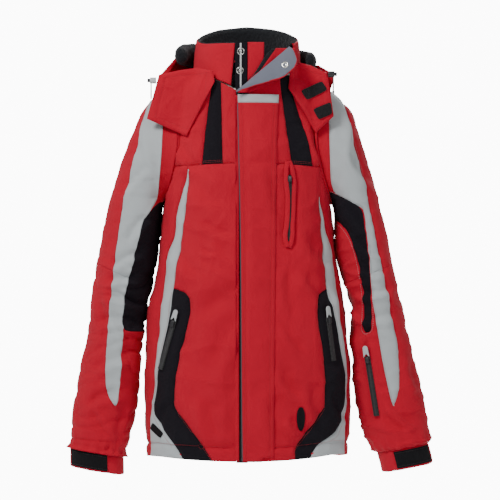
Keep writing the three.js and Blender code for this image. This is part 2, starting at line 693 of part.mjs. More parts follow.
// A cuff hangs from the sleeve's last section and narrows a little.
function cuffSurface(side) {
  const [ox, oz, ix, iz, half, y] = SLEEVES[side].at(-1);
  const [dx, dz] = CUFF_DROP[side];
  return (v, angle, depth) => {
    const wide = (ox - ix) / 2;
    const share = ((Math.abs(wide) - depth - 3) / Math.abs(wide)) * Math.cos(angle);
    const x = (ox + ix) / 2 + wide * share + dx * v;
    const z = (oz + iz) / 2 + ((oz - iz) / 2) * share + dz * v - GAP;
    return [x, y - (half - depth - 3) * Math.sin(angle), z];
  };
}

function cuffPieces(side) {
  const cuff = cuffSurface(side);
  const tube = slab((u, v, depth) => cuff(v, u * TURN, depth), SLEEVE_SIDES, 1, 0, CUFF_WALL, true);
  add(`${side}_cuff`, tube, RED);
  const tab = slab(
    (u, v, depth) => cuff(mix(0.06, 0.9, v), degrees(mix(TAB_START, TAB_END, u)), depth),
    6,
    1,
    -TAB_GAP - TAB_THICKNESS,
    -TAB_GAP,
  );
  add(`${side}_cuff_tab`, tab, BLACK, 0.6);
}

function sleeves() {
  for (const side of ["right", "left"]) {
    const last = SLEEVES[side].length - 1;
    add(`${side}_sleeve_head`, sleeveHead(side), RED);
    add(`${side}_upper_sleeve`, sleeveTube(side, 0.01, ELBOW_SECTION - 0.005, 6), RED);
    add(`${side}_forearm`, sleeveTube(side, ELBOW_SECTION + 0.005, last, 5), RED);
    cuffPieces(side);
  }
}

// ---------- pocket zips ----------
// A zip on a surface: its frame, and how far the surface crowns over the straight line of the zip.
function zipFrame(surface, from, to) {
  const start = new THREE.Vector3(from[0], surface(...from), from[1]);
  const end = new THREE.Vector3(to[0], surface(...to), to[1]);
  const along = end.clone().sub(start).normalize();
  const middle = start.clone().add(end).multiplyScalar(0.5);
  const beside = new THREE.Vector3(middle.x + 4, surface(middle.x + 4, middle.z), middle.z);
  const tangent = beside.sub(new THREE.Vector3(middle.x, surface(middle.x, middle.z), middle.z));
  const out = tangent.cross(along).normalize();
  if (out.y > 0) out.negate();
  const side = along.clone().cross(out);
  let crown = 0;
  for (let step = 0; step <= ZIP_STEPS; step += 1)
    for (const across of [-0.5, 0, 0.5]) {
      const on = start.clone().lerp(end, step / ZIP_STEPS).addScaledVector(side, across * POCKET_ZIP_WIDTH);
      crown = Math.max(crown, new THREE.Vector3(0, surface(on.x, on.z) - on.y, 0).dot(out));
    }
  return { surface, start, along, out, side, crown, length: start.distanceTo(end) };
}

// The zip's strip: flat on top, and following the surface below.
function zipStrip(zip) {
  const top = zip.crown + GAP + POCKET_ZIP_THICKNESS;
  return slab(
    (u, v, depth) => {
      const on = zip.start.clone().addScaledVector(zip.along, v * zip.length);
      on.addScaledVector(zip.side, (u - 0.5) * POCKET_ZIP_WIDTH);
      if (depth > 0) return [on.x, zip.surface(on.x, on.z) - GAP, on.z];
      return on.addScaledVector(zip.out, top).toArray();
    },
    2,
    ZIP_STEPS,
    0,
    1,
  );
}

// Places a piece made with its length along +Z and its back on the XZ plane, facing -Y, on a zip.
function onZip(geometry, zip, along, off) {
  const place = new THREE.Matrix4().makeBasis(zip.side, zip.out.clone().negate(), zip.along);
  const at = zip.start.clone().addScaledVector(zip.along, along);
  return placed(geometry, place.setPosition(at.addScaledVector(zip.out, off)));
}

function sliderBody(zip) {
  const box = new THREE.BoxGeometry(POCKET_SLIDER_WIDTH, POCKET_SLIDER_THICKNESS, POCKET_SLIDER_LENGTH);
  const off = zip.crown + 2 * GAP + POCKET_ZIP_THICKNESS + POCKET_SLIDER_THICKNESS / 2;
  return onZip(box, zip, POCKET_SLIDER_LENGTH / 2 + 2, off);
}

// A flat moulded pull with a round end and a notched foot, lying above the slider.
function pullTab(zip) {
  const half = PULL_WIDTH / 2;
  const shape = new THREE.Shape();
  shape.moveTo(-half, 0).lineTo(0, PULL_NOTCH).lineTo(half, 0).lineTo(half * 0.86, PULL_LENGTH - half);
  shape.absarc(0, PULL_LENGTH - half, half * 0.86, 0, Math.PI, false);
  shape.lineTo(-half, 0);
  const options = { depth: PULL_THICKNESS, bevelEnabled: false, curveSegments: 8 };
  const plate = new THREE.ExtrudeGeometry(shape, options).rotateX(-Math.PI / 2);
  const off = zip.crown + 2 * GAP + POCKET_ZIP_THICKNESS + PULL_THICKNESS;
  return onZip(plate, zip, 2 - GAP, off);
}

const rightHandZip = zipFrame(frontAt, [-138, 270], [-165, 176]);
const leftHandZip = zipFrame(frontAt, [153, 276], [164, 192]);
const chestZip = zipFrame(frontAt, [79, 546], [80, 420]);
const forearmAt = (x, z) => {
  const sleeve = sleeveSurface("left");
  const sections = SLEEVES.left;
  let at = sections.length - 1;
  while (at > 0 && (sections[at - 1][1] + sections[at - 1][3]) / 2 < z) at -= 1;
  const height = (row) => (row[1] + row[3]) / 2;
  const before = sections[at - 1];
  const place = at - 1 + (height(before) - z) / (height(before) - height(sections[at]));
  const outer = sleeve(place, 0, 0);
  const inner = sleeve(place, Math.PI, 0);
  const share = (x - (outer[0] + inner[0]) / 2) / ((outer[0] - inner[0]) / 2);
  return sleeve(place, Math.acos(share), 0)[1];
};
const sleeveZip = zipFrame(forearmAt, [230, 200], [248, 86]);

function pocketZips() {
  add("right_pocket_zip", zipStrip(rightHandZip), BLACK, 0.5);
  add("left_pocket_zip", zipStrip(leftHandZip), BLACK, 0.5);
  add("chest_pocket_zip", zipStrip(chestZip), BLACK, 0.5);
  add("sleeve_pocket_zip", zipStrip(sleeveZip), BLACK, 0.5);
  add("right_pocket_slider", sliderBody(rightHandZip), BLACK, 0.4);
  add("left_pocket_slider", sliderBody(leftHandZip), BLACK, 0.4);
  add("chest_pocket_slider", sliderBody(chestZip), BLACK, 0.4);
  add("sleeve_pocket_slider", sliderBody(sleeveZip), BLACK, 0.4);
  add("right_pocket_pull", pullTab(rightHandZip), GREY, 0.5);
  add("left_pocket_pull", pullTab(leftHandZip), GREY, 0.5);
  add("sleeve_pocket_pull", pullTab(sleeveZip), GREY, 0.5);
}

// ---------- hanging loop ----------
const loopBack = Math.min(...[-1, 0, 1].map((share) => loopRoom((share * LOOP_WIDTH) / 2)));
const LOOP_Y = loopBack - GAP - LOOP_THICKNESS / 2;
const LOOP_TOP = BODY_LENGTH + GAP + 4 + LOOP_DROP;

// The y of the collar lining's inner face at this x, low on the back of the collar.
function loopRoom(x) {
  const depth = SHELL + GAP + FLEECE_THICKNESS;
  const share = Math.asin(Math.min(1, Math.abs(x) / (COLLAR_HALF_WIDTH - depth)) ** (COLLAR_ROUNDNESS / 2));
  return Math.min(...[0, 0.4].map((v) => collar(v, Math.PI - share, depth)[1]));
}

function hangLoop() {
  const half = LOOP_WIDTH / 2;
  const frame = new THREE.Shape();
  frame.moveTo(-half, 0).lineTo(-half, LOOP_DROP).lineTo(half, LOOP_DROP).lineTo(half, 0);
  frame.lineTo(half - LOOP_TAPE, 0).lineTo(half - LOOP_TAPE, LOOP_DROP - LOOP_TAPE);
  frame.lineTo(-half + LOOP_TAPE, LOOP_DROP - LOOP_TAPE).lineTo(-half + LOOP_TAPE, 0).closePath();
  const plate = new THREE.ExtrudeGeometry(frame, { depth: LOOP_THICKNESS, bevelEnabled: false });
  plate.rotateX(Math.PI / 2);
  add("hang_loop", moved(plate, 0, LOOP_Y + LOOP_THICKNESS / 2, LOOP_TOP - LOOP_DROP), BLACK, 0.7);
}

// ---------- hood ----------
// The fleece roll round the back of the collar: lower on the wearer's left.
function hoodRoll() {
  const wide = COLLAR_HALF_WIDTH + HOOD_CLEARANCE + ROLL_RADIUS;
  const deep = (COLLAR_BACK - COLLAR_FRONT) / 2 + HOOD_CLEARANCE + ROLL_RADIUS + 4;
  const middle = (COLLAR_BACK + COLLAR_FRONT) / 2 + 4;
  const from = degrees(ROLL_START);
  return loft(
    (u, angle) => {
      const round = mix(from, TURN - from, u);
      const swell = Math.sqrt(Math.sin(Math.PI * mix(0.08, 0.92, u)));
      const radius = Math.cos(angle) * ROLL_RADIUS * swell;
      const z = ROLL_HEIGHT - 8 * Math.sin(round) + Math.sin(angle) * ROLL_RISE * swell;
      return [(wide + radius) * Math.sin(round), middle - (deep + radius) * Math.cos(round), z];
    },
    18,
    10,
  );
}

// A closed solid through a row of rings, with a flat fan at each end.
function loft(ringAt, steps, sides) {
  const points = [];
  for (let j = 0; j <= steps; j += 1)
    for (let i = 0; i < sides; i += 1) points.push(...ringAt(j / steps, (i / sides) * TURN));
  const faces = [];
  const id = (i, j) => j * sides + (i % sides);
  for (let j = 0; j < steps; j += 1)
    for (let i = 0; i < sides; i += 1) {
      faces.push(id(i, j), id(i + 1, j), id(i + 1, j + 1), id(i, j), id(i + 1, j + 1), id(i, j + 1));
    }
  for (let i = 1; i < sides - 1; i += 1) {
    faces.push(id(0, 0), id(i + 1, 0), id(i, 0));
    faces.push(id(0, steps), id(i, steps), id(i + 1, steps));
  }
  return facingOut(points, faces);
}

// The hood's shell hangs open down the back, widest and lowest in the middle.
function hoodBack() {
  const wide = COLLAR_HALF_WIDTH + HOOD_CLEARANCE + 2 * ROLL_RADIUS - ROLL_SEAM;
  const middle = (COLLAR_BACK + COLLAR_FRONT) / 2 + 4;
  const deep = (COLLAR_BACK - COLLAR_FRONT) / 2 + HOOD_CLEARANCE + 2 * ROLL_RADIUS + 4 - ROLL_SEAM;
  const from = degrees(ROLL_START);
  return slab(
    (u, v, depth) => {
      const angle = mix(from, TURN - from, u);
      const hang = Math.max(0, -Math.cos(angle)) ** 1.3;
      const rim = ROLL_HEIGHT - 12 - 8 * Math.sin(angle);
      const top = [wide * Math.sin(angle), middle - deep * Math.cos(angle), rim];
      const low = HOOD_SIDE_Z - (HOOD_SIDE_Z - HOOD_LOW_Z) * hang;
      const out = backLine(low) + 14;
      const foot = [HOOD_HALF_WIDTH * Math.sin(angle) * (1 - 0.12 * hang), mix(6, out, hang), low];
      const belly = HOOD_BELLY * hang * Math.sin(Math.PI * v);
      const x = mix(top[0], foot[0], v);
      const z = mix(top[2], foot[2], v);
      const y = Math.max(mix(top[1], foot[1], v) + belly, backRest(x, z));
      const tilt = Math.sqrt(1 - hang * hang) * 0.7;
      return [x, y - depth * Math.max(hang, 0.3), z - depth * tilt];
    },
    18,
    5,
    -HOOD_WALL,
    0,
  );
}

// A flat plate that follows the front: its corners are given as [x, z], going round.
function onFront(surface, corners, columns, rows, outer, inner) {
  const [a, b, c, d] = corners;
  return slab(
    (u, v, depth) => {
      const x = mix(mix(a[0], b[0], u), mix(d[0], c[0], u), v);
      const z = mix(mix(a[1], b[1], u), mix(d[1], c[1], u), v);
      return [x, surface(x, z) + depth, z];
    },
    columns,
    rows,
    outer,
    inner,
  );
}

// The y behind which the hood's shell hangs clear of the back and of the sleeve heads.
function backRest(x, z) {
  let y = -40;
  if (Math.abs(x) < halfWidth(z) && z <= BODY_LENGTH) {
    const share = Math.abs(x) / halfWidth(z);
    const middle = (frontLine(z) + backLine(z)) / 2;
    y = middle + ((backLine(z) - frontLine(z)) / 2) * (1 - share ** roundness(z)) ** (1 / roundness(z));
  }
  return Math.max(y, headRest(z, 1)) + HOOD_REST;
}

// The front or back of a sleeve's head at a height: sign is -1 or 1.
function headRest(z, sign) {
  const t = Math.min(1, Math.abs(z - ARM_Z) / (SLEEVE_HEAD_HEIGHT / 2));
  return ARM_Y + sign * (SLEEVE_HEAD_DEPTH / 2) * Math.sqrt(1 - t * t);
}

// The y at which a hood flap lies: in front of the body, the collar and the sleeve head, whichever is first.
function flapRest(x, z) {
  let y = -FLAP_REST;
  if (Math.abs(x) < halfWidth(z) && z <= BODY_LENGTH) y = Math.min(y, frontAt(x, z));
  if (Math.abs(x) > SLEEVE_HEAD_X) y = Math.min(y, headRest(z, -1));
  const collarWide = COLLAR_HALF_WIDTH + COLLAR_SPREAD;
  if (Math.abs(x) < collarWide && z > FRONT_NECK + 20) {
    const angle = Math.asin((Math.abs(x) / collarWide) ** (COLLAR_ROUNDNESS / 2));
    y = Math.min(y, outline(angle, collarWide, COLLAR_FRONT - COLLAR_SPREAD, COLLAR_BACK, COLLAR_ROUNDNESS)[1]);
  }
  return y - HOOD_FLAP_GAP;
}

// A cord lock: a barrel with a bore for its spring-loaded button. It lies along X, opening away from the hood.
function cordLock(side, at) {
  const sign = sideSign[side];
  const bore = BUTTON_RADIUS + BUTTON_CLEARANCE;
  const barrel = [
    [0, 0], [LOCK_RADIUS, 0], [LOCK_RADIUS, LOCK_LENGTH], [bore, LOCK_LENGTH],
    [bore, LOCK_LENGTH - LOCK_BORE_DEPTH], [0, LOCK_LENGTH - LOCK_BORE_DEPTH],
  ];
  const inside = BUTTON_LENGTH - BUTTON_OUT;
  const pin = [[0, 0], [BUTTON_RADIUS, 0], [BUTTON_RADIUS, BUTTON_LENGTH], [0, BUTTON_LENGTH]];
  const turned = (profile) => new THREE.LatheGeometry(profile.map(([r, h]) => new THREE.Vector2(r, h)), 12);
  const out = new THREE.Vector3(sign, 0, 0);
  const place = new THREE.Vector3(...at);
  const color = side === "right" ? STEEL : BLACK;
  add(`${side}_cord_lock`, standing(turned(barrel), place, out), color, 0.5);
  add(`${side}_lock_button`, standing(turned(pin), place, out, LOCK_LENGTH - inside), BLACK, 0.5);
}

// The hood's drawcord comes out of the lock's underside, makes a small hanging loop and goes back in.
function cordLoop(side, at) {
  const sign = sideSign[side];
  const points = CORD_ROUTE.map(([forward, down]) => {
    return new THREE.Vector3(at[0] + sign * CORD_OUT, at[1] - forward, at[2] - LOCK_RADIUS - GAP - down);
  });
  const path = new THREE.CatmullRomCurve3(points);
  const section = new THREE.Shape().absarc(0, 0, CORD_RADIUS, 0, TURN);
  const options = { steps: CORD_STEPS, extrudePath: path, bevelEnabled: false, curveSegments: CORD_SIDES / 2 };
  add(`${side}_cord_loop`, new THREE.ExtrudeGeometry(section, options), BLACK, 0.7);
}

function hood() {
  add("hood_lining", hoodRoll(), FLEECE, 0.98);
  add("hood_shell", hoodBack(), RED);
  const right = onFront(flapRest, RIGHT_FLAP, 5, 6, -HOOD_FLAP_THICKNESS, 0);
  add("right_hood_flap", right, RED);
  const sunk = LEFT_FLAP_SINK - HOOD_FLAP_THICKNESS;
  add("left_hood_flap", onFront(flapRest, LEFT_FLAP, 5, 6, sunk, LEFT_FLAP_SINK), RED);
  for (const side of ["right", "left"]) {
    cordLock(side, LOCKS[side]);
    cordLoop(side, LOCKS[side]);
  }
}

// ---------- the whole jacket ----------
bodyPanels();
innerLayers();
frontZip();
stormFlap();
collarPieces();
snapStuds();
collarFlap();
sleeves();
pocketZips();
hangLoop();
hood();

pattern.position.set(0, -LOOP_Y, -(LOOP_TOP - LOOP_TAPE));

export default garment;
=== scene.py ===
# %% [markdown]
# # An insulated ski jacket in Blender
# The jacket is a shell of sewn panels over padding, filled out as it is when worn. This lesson loads
# the measured parts first, then draws every piece of cloth on the same pattern, so that each lies
# where its measured part says. Lengths in the pattern are millimetres, with z = 0 at the hem.

import json
import math

import bmesh
import bpy
import numpy as np
from mathutils import Matrix, Vector, noise
from mathutils.bvhtree import BVHTree
from mathutils.kdtree import KDTree


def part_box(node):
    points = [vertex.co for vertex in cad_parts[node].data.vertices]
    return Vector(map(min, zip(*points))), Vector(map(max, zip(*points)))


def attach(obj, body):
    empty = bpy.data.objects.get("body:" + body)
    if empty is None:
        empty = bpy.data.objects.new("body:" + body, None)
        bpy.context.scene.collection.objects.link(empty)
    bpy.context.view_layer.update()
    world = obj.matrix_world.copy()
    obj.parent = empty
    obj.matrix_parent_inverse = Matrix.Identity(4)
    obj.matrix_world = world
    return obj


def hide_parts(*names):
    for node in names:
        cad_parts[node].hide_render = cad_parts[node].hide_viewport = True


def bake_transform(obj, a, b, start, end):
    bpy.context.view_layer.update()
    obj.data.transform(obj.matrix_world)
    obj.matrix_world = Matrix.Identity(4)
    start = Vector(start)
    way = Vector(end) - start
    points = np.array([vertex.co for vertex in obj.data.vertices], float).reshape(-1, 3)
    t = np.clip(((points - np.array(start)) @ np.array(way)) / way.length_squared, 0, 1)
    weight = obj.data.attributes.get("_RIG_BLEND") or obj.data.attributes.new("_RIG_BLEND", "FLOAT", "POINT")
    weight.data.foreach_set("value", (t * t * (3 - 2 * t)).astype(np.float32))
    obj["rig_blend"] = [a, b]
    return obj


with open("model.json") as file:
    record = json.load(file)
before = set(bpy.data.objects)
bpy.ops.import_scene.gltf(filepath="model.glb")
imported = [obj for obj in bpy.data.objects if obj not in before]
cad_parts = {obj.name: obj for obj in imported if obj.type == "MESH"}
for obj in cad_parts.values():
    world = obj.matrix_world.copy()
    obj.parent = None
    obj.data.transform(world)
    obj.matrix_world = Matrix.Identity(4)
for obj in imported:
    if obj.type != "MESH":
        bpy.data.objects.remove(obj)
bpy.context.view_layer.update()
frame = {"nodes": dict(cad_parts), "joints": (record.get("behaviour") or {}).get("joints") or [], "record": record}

# %% [markdown]
# ## From the pattern to the room
# The measured parts sit in metres around the hanging loop. The hem of the back panel and the middle
# of a sleeve head say how far the pattern is moved, so nothing has to be fitted by eye.

# %% Place the pattern
HEM_TRIM = 0.25  # the measured panels stop this far above the hem
ARM_Y = 6
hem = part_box("back_panel")[0][2] * 1000 - HEM_TRIM
head_low, head_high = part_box("right_sleeve_head")
OFFSET = np.array([0, (head_low[1] + head_high[1]) * 500 - ARM_Y, hem])


def place(points):
    """Pattern millimetres to metres in the room."""
    return (np.asarray(points, float) + OFFSET) / 1000


print("the pattern is moved by", OFFSET.round(1), "mm")

# %% [markdown]
# ## Camera and light
# A long lens from straight in front keeps the jacket's proportions. Soft light comes from two large
# panels and a white room, as in a clothes studio, so folds show as gentle shading.

# %% Camera
VIEW_WIDTH = 0.95
CAMERA_DISTANCE = 6.0
CAMERA_HEIGHT = -0.357
camera = bpy.data.objects.new("camera", bpy.data.cameras.new("camera"))
camera.data.lens = camera.data.sensor_width * CAMERA_DISTANCE / VIEW_WIDTH
camera.location = (0.005, -CAMERA_DISTANCE - 0.15, CAMERA_HEIGHT)
camera.rotation_euler = (math.radians(90), 0, 0)
bpy.context.collection.objects.link(camera)
bpy.context.scene.camera = camera
print("lens", round(camera.data.lens), "mm")


# %% Lights, room and floor
def panel_light(name, place_at, size, power, aim=(0, 0, -0.35)):
    data = bpy.data.lights.new(name, "AREA")
    data.shape = "DISK"
    data.size = size
    data.energy = power
    lamp = bpy.data.objects.new(name, data)
    lamp.location = place_at
    lamp.rotation_euler = (Vector(place_at) - Vector(aim)).to_track_quat("Z", "Y").to_euler()
    bpy.context.collection.objects.link(lamp)


panel_light("key_light", (-1.5, -1.9, 1.9), 0.9, 106)
panel_light("fill_light", (1.8, -2.4, 0.7), 1.4, 24)
panel_light("back_light", (0.6, 2.6, 1.4), 1.6, 45)
world = bpy.data.worlds.new("studio")
bpy.context.scene.world = world
world.use_nodes = True
room = world.node_tree.nodes["Background"]
room.inputs["Color"].default_value = (1, 1, 1, 1)
room.inputs["Strength"].default_value = 0.39
paper = world.node_tree.nodes.new("ShaderNodeBackground")  # the bright paper that the camera sees
paper.inputs["Strength"].default_value = 14
seen = world.node_tree.nodes.new("ShaderNodeLightPath")
either = world.node_tree.nodes.new("ShaderNodeMixShader")
world.node_tree.links.new(seen.outputs["Is Camera Ray"], either.inputs["Fac"])
world.node_tree.links.new(room.outputs[0], either.inputs[1])
world.node_tree.links.new(paper.outputs[0], either.inputs[2])
world.node_tree.links.new(either.outputs[0], world.node_tree.nodes["World Output"].inputs["Surface"])

FLOOR_Z = -1.6
bpy.ops.mesh.primitive_plane_add(size=14, location=(0, 0, FLOOR_Z))
floor = bpy.context.object
floor.name = "floor"
paint = bpy.data.materials.new("pale_floor")
paint.use_nodes = True
paint.node_tree.nodes["Principled BSDF"].inputs["Base Color"].default_value = (0.86, 0.86, 0.86, 1)
paint.node_tree.nodes["Principled BSDF"].inputs["Roughness"].default_value = 0.9
paint.node_tree.nodes["Principled BSDF"].inputs["Emission Color"].default_value = (1, 1, 1, 1)
paint.node_tree.nodes["Principled BSDF"].inputs["Emission Strength"].default_value = 0.35
floor.data.materials.append(paint)

# %% [markdown]
# ## Cloth finishes
# Woven polyester has a fine thread pattern, a faint crinkle and a slight sheen. A procedural material
# can carry all of it at any distance: waves make the threads, noise makes the crinkle and the patchy
# colour. The numbers that are the same everywhere are set on the shader itself.


# %% The cloth material
def node(tree, kind, inputs=(), **settings):
    made = tree.nodes.new(kind)
    for key, value in settings.items():
        setattr(made, key, value)
    for name, value in dict(inputs).items():
        made.inputs[name].default_value = value
    return made


def shade(tree, source, low, high):
    """Maps a 0 to 1 pattern to a colour between two colours."""
    ramp = node(tree, "ShaderNodeMix", data_type="RGBA")
    tree.links.new(source, ramp.inputs["Factor"])
    ramp.inputs["A"].default_value = (*low, 1)
    ramp.inputs["B"].default_value = (*high, 1)
    return ramp.outputs["Result"]


def blank(name, roughness, sheen=0.0, metallic=0.0, specular=0.5):
    material = bpy.data.materials.new(name)
    material.use_nodes = True
    shader = material.node_tree.nodes["Principled BSDF"]
    shader.inputs["Roughness"].default_value = roughness
    shader.inputs["Sheen Weight"].default_value = sheen
    shader.inputs["Metallic"].default_value = metallic
    shader.inputs["Specular IOR Level"].default_value = specular
    return material, material.node_tree, shader


def heights(tree, shader, parts, distance):
    """Adds up weighted height patterns and makes them a bump on the shader."""
    total = None
    for source, weight in parts:
        scaled = node(tree, "ShaderNodeMath", {1: weight}, operation="MULTIPLY")
        tree.links.new(source, scaled.inputs[0])
        if total is None:
            total = scaled.outputs[0]
            continue
        summed = node(tree, "ShaderNodeMath", operation="ADD")
        tree.links.new(total, summed.inputs[0])
        tree.links.new(scaled.outputs[0], summed.inputs[1])
        total = summed.outputs[0]
    bump = node(tree, "ShaderNodeBump", {"Distance": distance})
    tree.links.new(total, bump.inputs["Height"])
    tree.links.new(bump.outputs["Normal"], shader.inputs["Normal"])


def cloth(name, colour, thread=0.0007, crinkle=0.6, roughness=0.62, sheen=0.1, turn=0.0, rib=0.0,
          patchy=0.12,
          specular=0.2):
    """Woven cloth: colour, thread spacing, crinkle strength, and ribs of a given spacing if wanted."""
    material, tree, shader = blank(name, roughness, sheen, specular=specular)
    where = node(tree, "ShaderNodeTexCoord").outputs["Object"]
    turned = node(tree, "ShaderNodeMapping", {"Rotation": (0, turn, 0)})
    tree.links.new(where, turned.inputs["Vector"])
    broad = node(tree, "ShaderNodeTexNoise", {"Scale": 9, "Detail": 3})
    fine = node(tree, "ShaderNodeTexNoise", {"Scale": 210, "Detail": 5, "Roughness": 0.62})
    tree.links.new(where, broad.inputs["Vector"])
    tree.links.new(where, fine.inputs["Vector"])
    parts = [(fine.outputs["Fac"], crinkle)]
    for direction in ("X", "Z"):
        threads = node(tree, "ShaderNodeTexWave", {"Scale": 0.314 / thread}, bands_direction=direction)
        tree.links.new(turned.outputs["Vector"], threads.inputs["Vector"])
        parts.append((threads.outputs["Fac"], 0.18))
    mottle = broad.outputs["Fac"]
    if rib:
        ribs = node(tree, "ShaderNodeTexWave", {"Scale": 0.314 / rib, "Distortion": 0.4},
                    bands_direction="X")
        tree.links.new(turned.outputs["Vector"], ribs.inputs["Vector"])
        parts.append((ribs.outputs["Fac"], 0.9))
        mottle = ribs.outputs["Fac"]
    low = [c * (1 - patchy) for c in colour]
    high = [min(1, c * (1 + patchy)) for c in colour]
    tree.links.new(shade(tree, mottle, low, high), shader.inputs["Base Color"])
    heights(tree, shader, parts, 0.0009)
    return material


RED = (0.44, 0.0026, 0.0190)
red_cloth = cloth("shell_red", RED, sheen=0.04, specular=0.12)
silver_cloth = cloth("silver_grey", (0.40, 0.43, 0.44), crinkle=0.9, roughness=0.5, sheen=0.15, patchy=0.08)
ribbed_cloth = cloth("ribbed_black", (0.010, 0.0085, 0.012), rib=0.0021, turn=0.25, patchy=0.45, sheen=0.0,
                     specular=0.08)
tab_cloth = cloth("tab_black", (0.008, 0.0075, 0.009), rib=0.0016, turn=0, patchy=0.3, sheen=0.0,
                  specular=0.1)
slate_cloth = cloth("flap_facing", (0.135, 0.145, 0.185), crinkle=0.5, roughness=0.7)
lining_cloth = cloth("lining", (0.020, 0.020, 0.024), crinkle=0.4, roughness=0.45)
wadding_cloth = cloth("wadding", (0.72, 0.70, 0.64), thread=0.002, crinkle=1.6, roughness=0.95)
print("cloth materials:", sum(1 for m in bpy.data.materials if m.users >= 0))

# %% [markdown]
# Fleece is a knit with its fibres brushed up, so it hardly reflects at all and its surface is lumpy.
# Two noises of different grain and a strong sheen give the soft dark look.


# %% Fleece, metal, plastic and cord
def fleece(name, colour):
    material, tree, shader = blank(name, 1.0, sheen=0.12, specular=0.05)
    where = node(tree, "ShaderNodeTexCoord").outputs["Object"]
    tufts = node(tree, "ShaderNodeTexNoise", {"Scale": 320, "Detail": 8, "Roughness": 0.75})
    lumps = node(tree, "ShaderNodeTexVoronoi", {"Scale": 190})
    for pattern in (tufts, lumps):
        tree.links.new(where, pattern.inputs["Vector"])
    low = [c * 0.5 for c in colour]
    high = [c * 1.7 for c in colour]
    tree.links.new(shade(tree, tufts.outputs["Fac"], low, high), shader.inputs["Base Color"])
    heights(tree, shader, [(tufts.outputs["Fac"], 1.0), (lumps.outputs["Distance"], 0.6)], 0.003)
    return material


def hard(name, colour, roughness, metallic=0.0, grain=160, wear=0.15, bump=0.00008):
    """Moulded plastic or plated metal with a fine grain and slightly uneven colour."""
    material, tree, shader = blank(name, roughness, metallic=metallic)
    where = node(tree, "ShaderNodeTexCoord").outputs["Object"]
    speck = node(tree, "ShaderNodeTexNoise", {"Scale": grain * 6, "Detail": 4})
    rub = node(tree, "ShaderNodeTexNoise", {"Scale": grain, "Detail": 2})
    for pattern in (speck, rub):
        tree.links.new(where, pattern.inputs["Vector"])
    low = [c * (1 - wear) for c in colour]
    high = [min(1, c * (1 + wear)) for c in colour]
    tree.links.new(shade(tree, rub.outputs["Fac"], low, high), shader.inputs["Base Color"])
    heights(tree, shader, [(speck.outputs["Fac"], 1.0)], bump)
    return material


black_fleece = fleece("fleece", (0.011, 0.012, 0.014))
snap_metal = hard("snap_metal", (0.62, 0.61, 0.58), 0.24, metallic=1.0)
# painted shade: this dark metal colours the discs in the snaps' grooves and hollows, where the bright metal lies
# in shade
painted_shade_metal = hard("snap_cup", (0.08, 0.08, 0.085), 0.35, metallic=0.8)
pull_plastic = hard("pull_grey", (0.36, 0.38, 0.39), 0.45)
silver_plastic = hard("lock_silver", (0.42, 0.43, 0.44), 0.3)
black_plastic = hard("lock_black", (0.014, 0.014, 0.016), 0.35)
zip_tape = cloth("zip_black", (0.011, 0.011, 0.012), thread=0.0012, rib=0.0012, patchy=0.4)
hook_tape = fleece("hook_tape", (0.011, 0.011, 0.012))
braid = cloth("cord", (0.02, 0.02, 0.022), thread=0.0009, crinkle=0.2, rib=0.0011, patchy=0.5)
silver_braid = cloth("silver_braid", (0.34, 0.35, 0.36), thread=0.0009, crinkle=0.2, rib=0.0011, patchy=0.4)
piping_cloth = cloth("piping", (0.06, 0.062, 0.078), crinkle=0.3)
silver_piping = cloth("silver_piping", (0.5, 0.51, 0.52), crinkle=0.3, roughness=0.35)
red_thread = cloth("thread_red", (0.38, 0.012, 0.022), thread=0.0004)
grey_thread = cloth("thread_grey", (0.30, 0.32, 0.33), thread=0.0004)
black_thread = cloth("thread_black", (0.03, 0.028, 0.034), thread=0.0004)

# %% [markdown]
# ## The body's shape
# The body is a stack of rounded outlines: each height has a half-width, a front, a back and a
# roundness. A point on it is found from its height and its angle round the body, where 0 is the
# centre front and 90 degrees the wearer's left. Every panel is drawn on this one shape, so neighbours
# always meet.


# %% Smooth curves through a few sizes
def through(pairs):
    """A smooth curve through [at, value] pairs that never overshoots them."""
    at, value = np.array(pairs, float).T
    slope = np.diff(value) / np.diff(at)
    tangent = np.concatenate([slope[:1], np.zeros(len(at) - 2), slope[-1:]])
    same = slope[1:] * slope[:-1] > 0
    total = np.where(same, slope[1:] + slope[:-1], 1)
    tangent[1:-1] = np.where(same, 2 * slope[1:] * slope[:-1] / total, 0)

    def curve(x):
        x = np.clip(x, at[0], at[-1])
        i = np.clip(np.searchsorted(at, x, side="right") - 1, 0, len(at) - 2)
        width = at[i + 1] - at[i]
        t = (x - at[i]) / width
        start = (1 + 2 * t) * (1 - t) ** 2 * value[i] + t * (1 - t) ** 2 * width * tangent[i]
        return start + t * t * (3 - 2 * t) * value[i + 1] + t * t * (t - 1) * width * tangent[i + 1]

    return curve


def mix(a, b, t):
    return a + (b - a) * t


# %% The body's outline at each height
BODY_LENGTH = 742
HEM_HALF_WIDTH = 193
CHEST_HALF_WIDTH = 161
FRONT_NECK = 700
CHEST_SEAM = 555
COLLAR_HALF_WIDTH = 98
COLLAR_FRONT = -94
COLLAR_BACK = 58
COLLAR_ROUNDNESS = 2.1
COLLAR_HEIGHT = 95
half_width = through([
    [0, HEM_HALF_WIDTH], [60, HEM_HALF_WIDTH + 3], [150, HEM_HALF_WIDTH + 3], [240, HEM_HALF_WIDTH - 2],
    [300, HEM_HALF_WIDTH - 10], [352, HEM_HALF_WIDTH - 19], [425, CHEST_HALF_WIDTH + 4],
    [490, CHEST_HALF_WIDTH], [600, CHEST_HALF_WIDTH], [690, CHEST_HALF_WIDTH + 1],
    [712, CHEST_HALF_WIDTH - 3], [724, CHEST_HALF_WIDTH - 14], [736, CHEST_HALF_WIDTH - 42],
    [BODY_LENGTH, COLLAR_HALF_WIDTH + 6],
])
back_line = through([
    [0, 126], [150, 120], [300, 116], [420, 124], [540, 130], [620, 124], [680, 108], [715, 86],
    [BODY_LENGTH, 68],
])
roundness = through([[0, 2.4], [560, 2.4], [690, 1.95], [BODY_LENGTH, 1.8]])
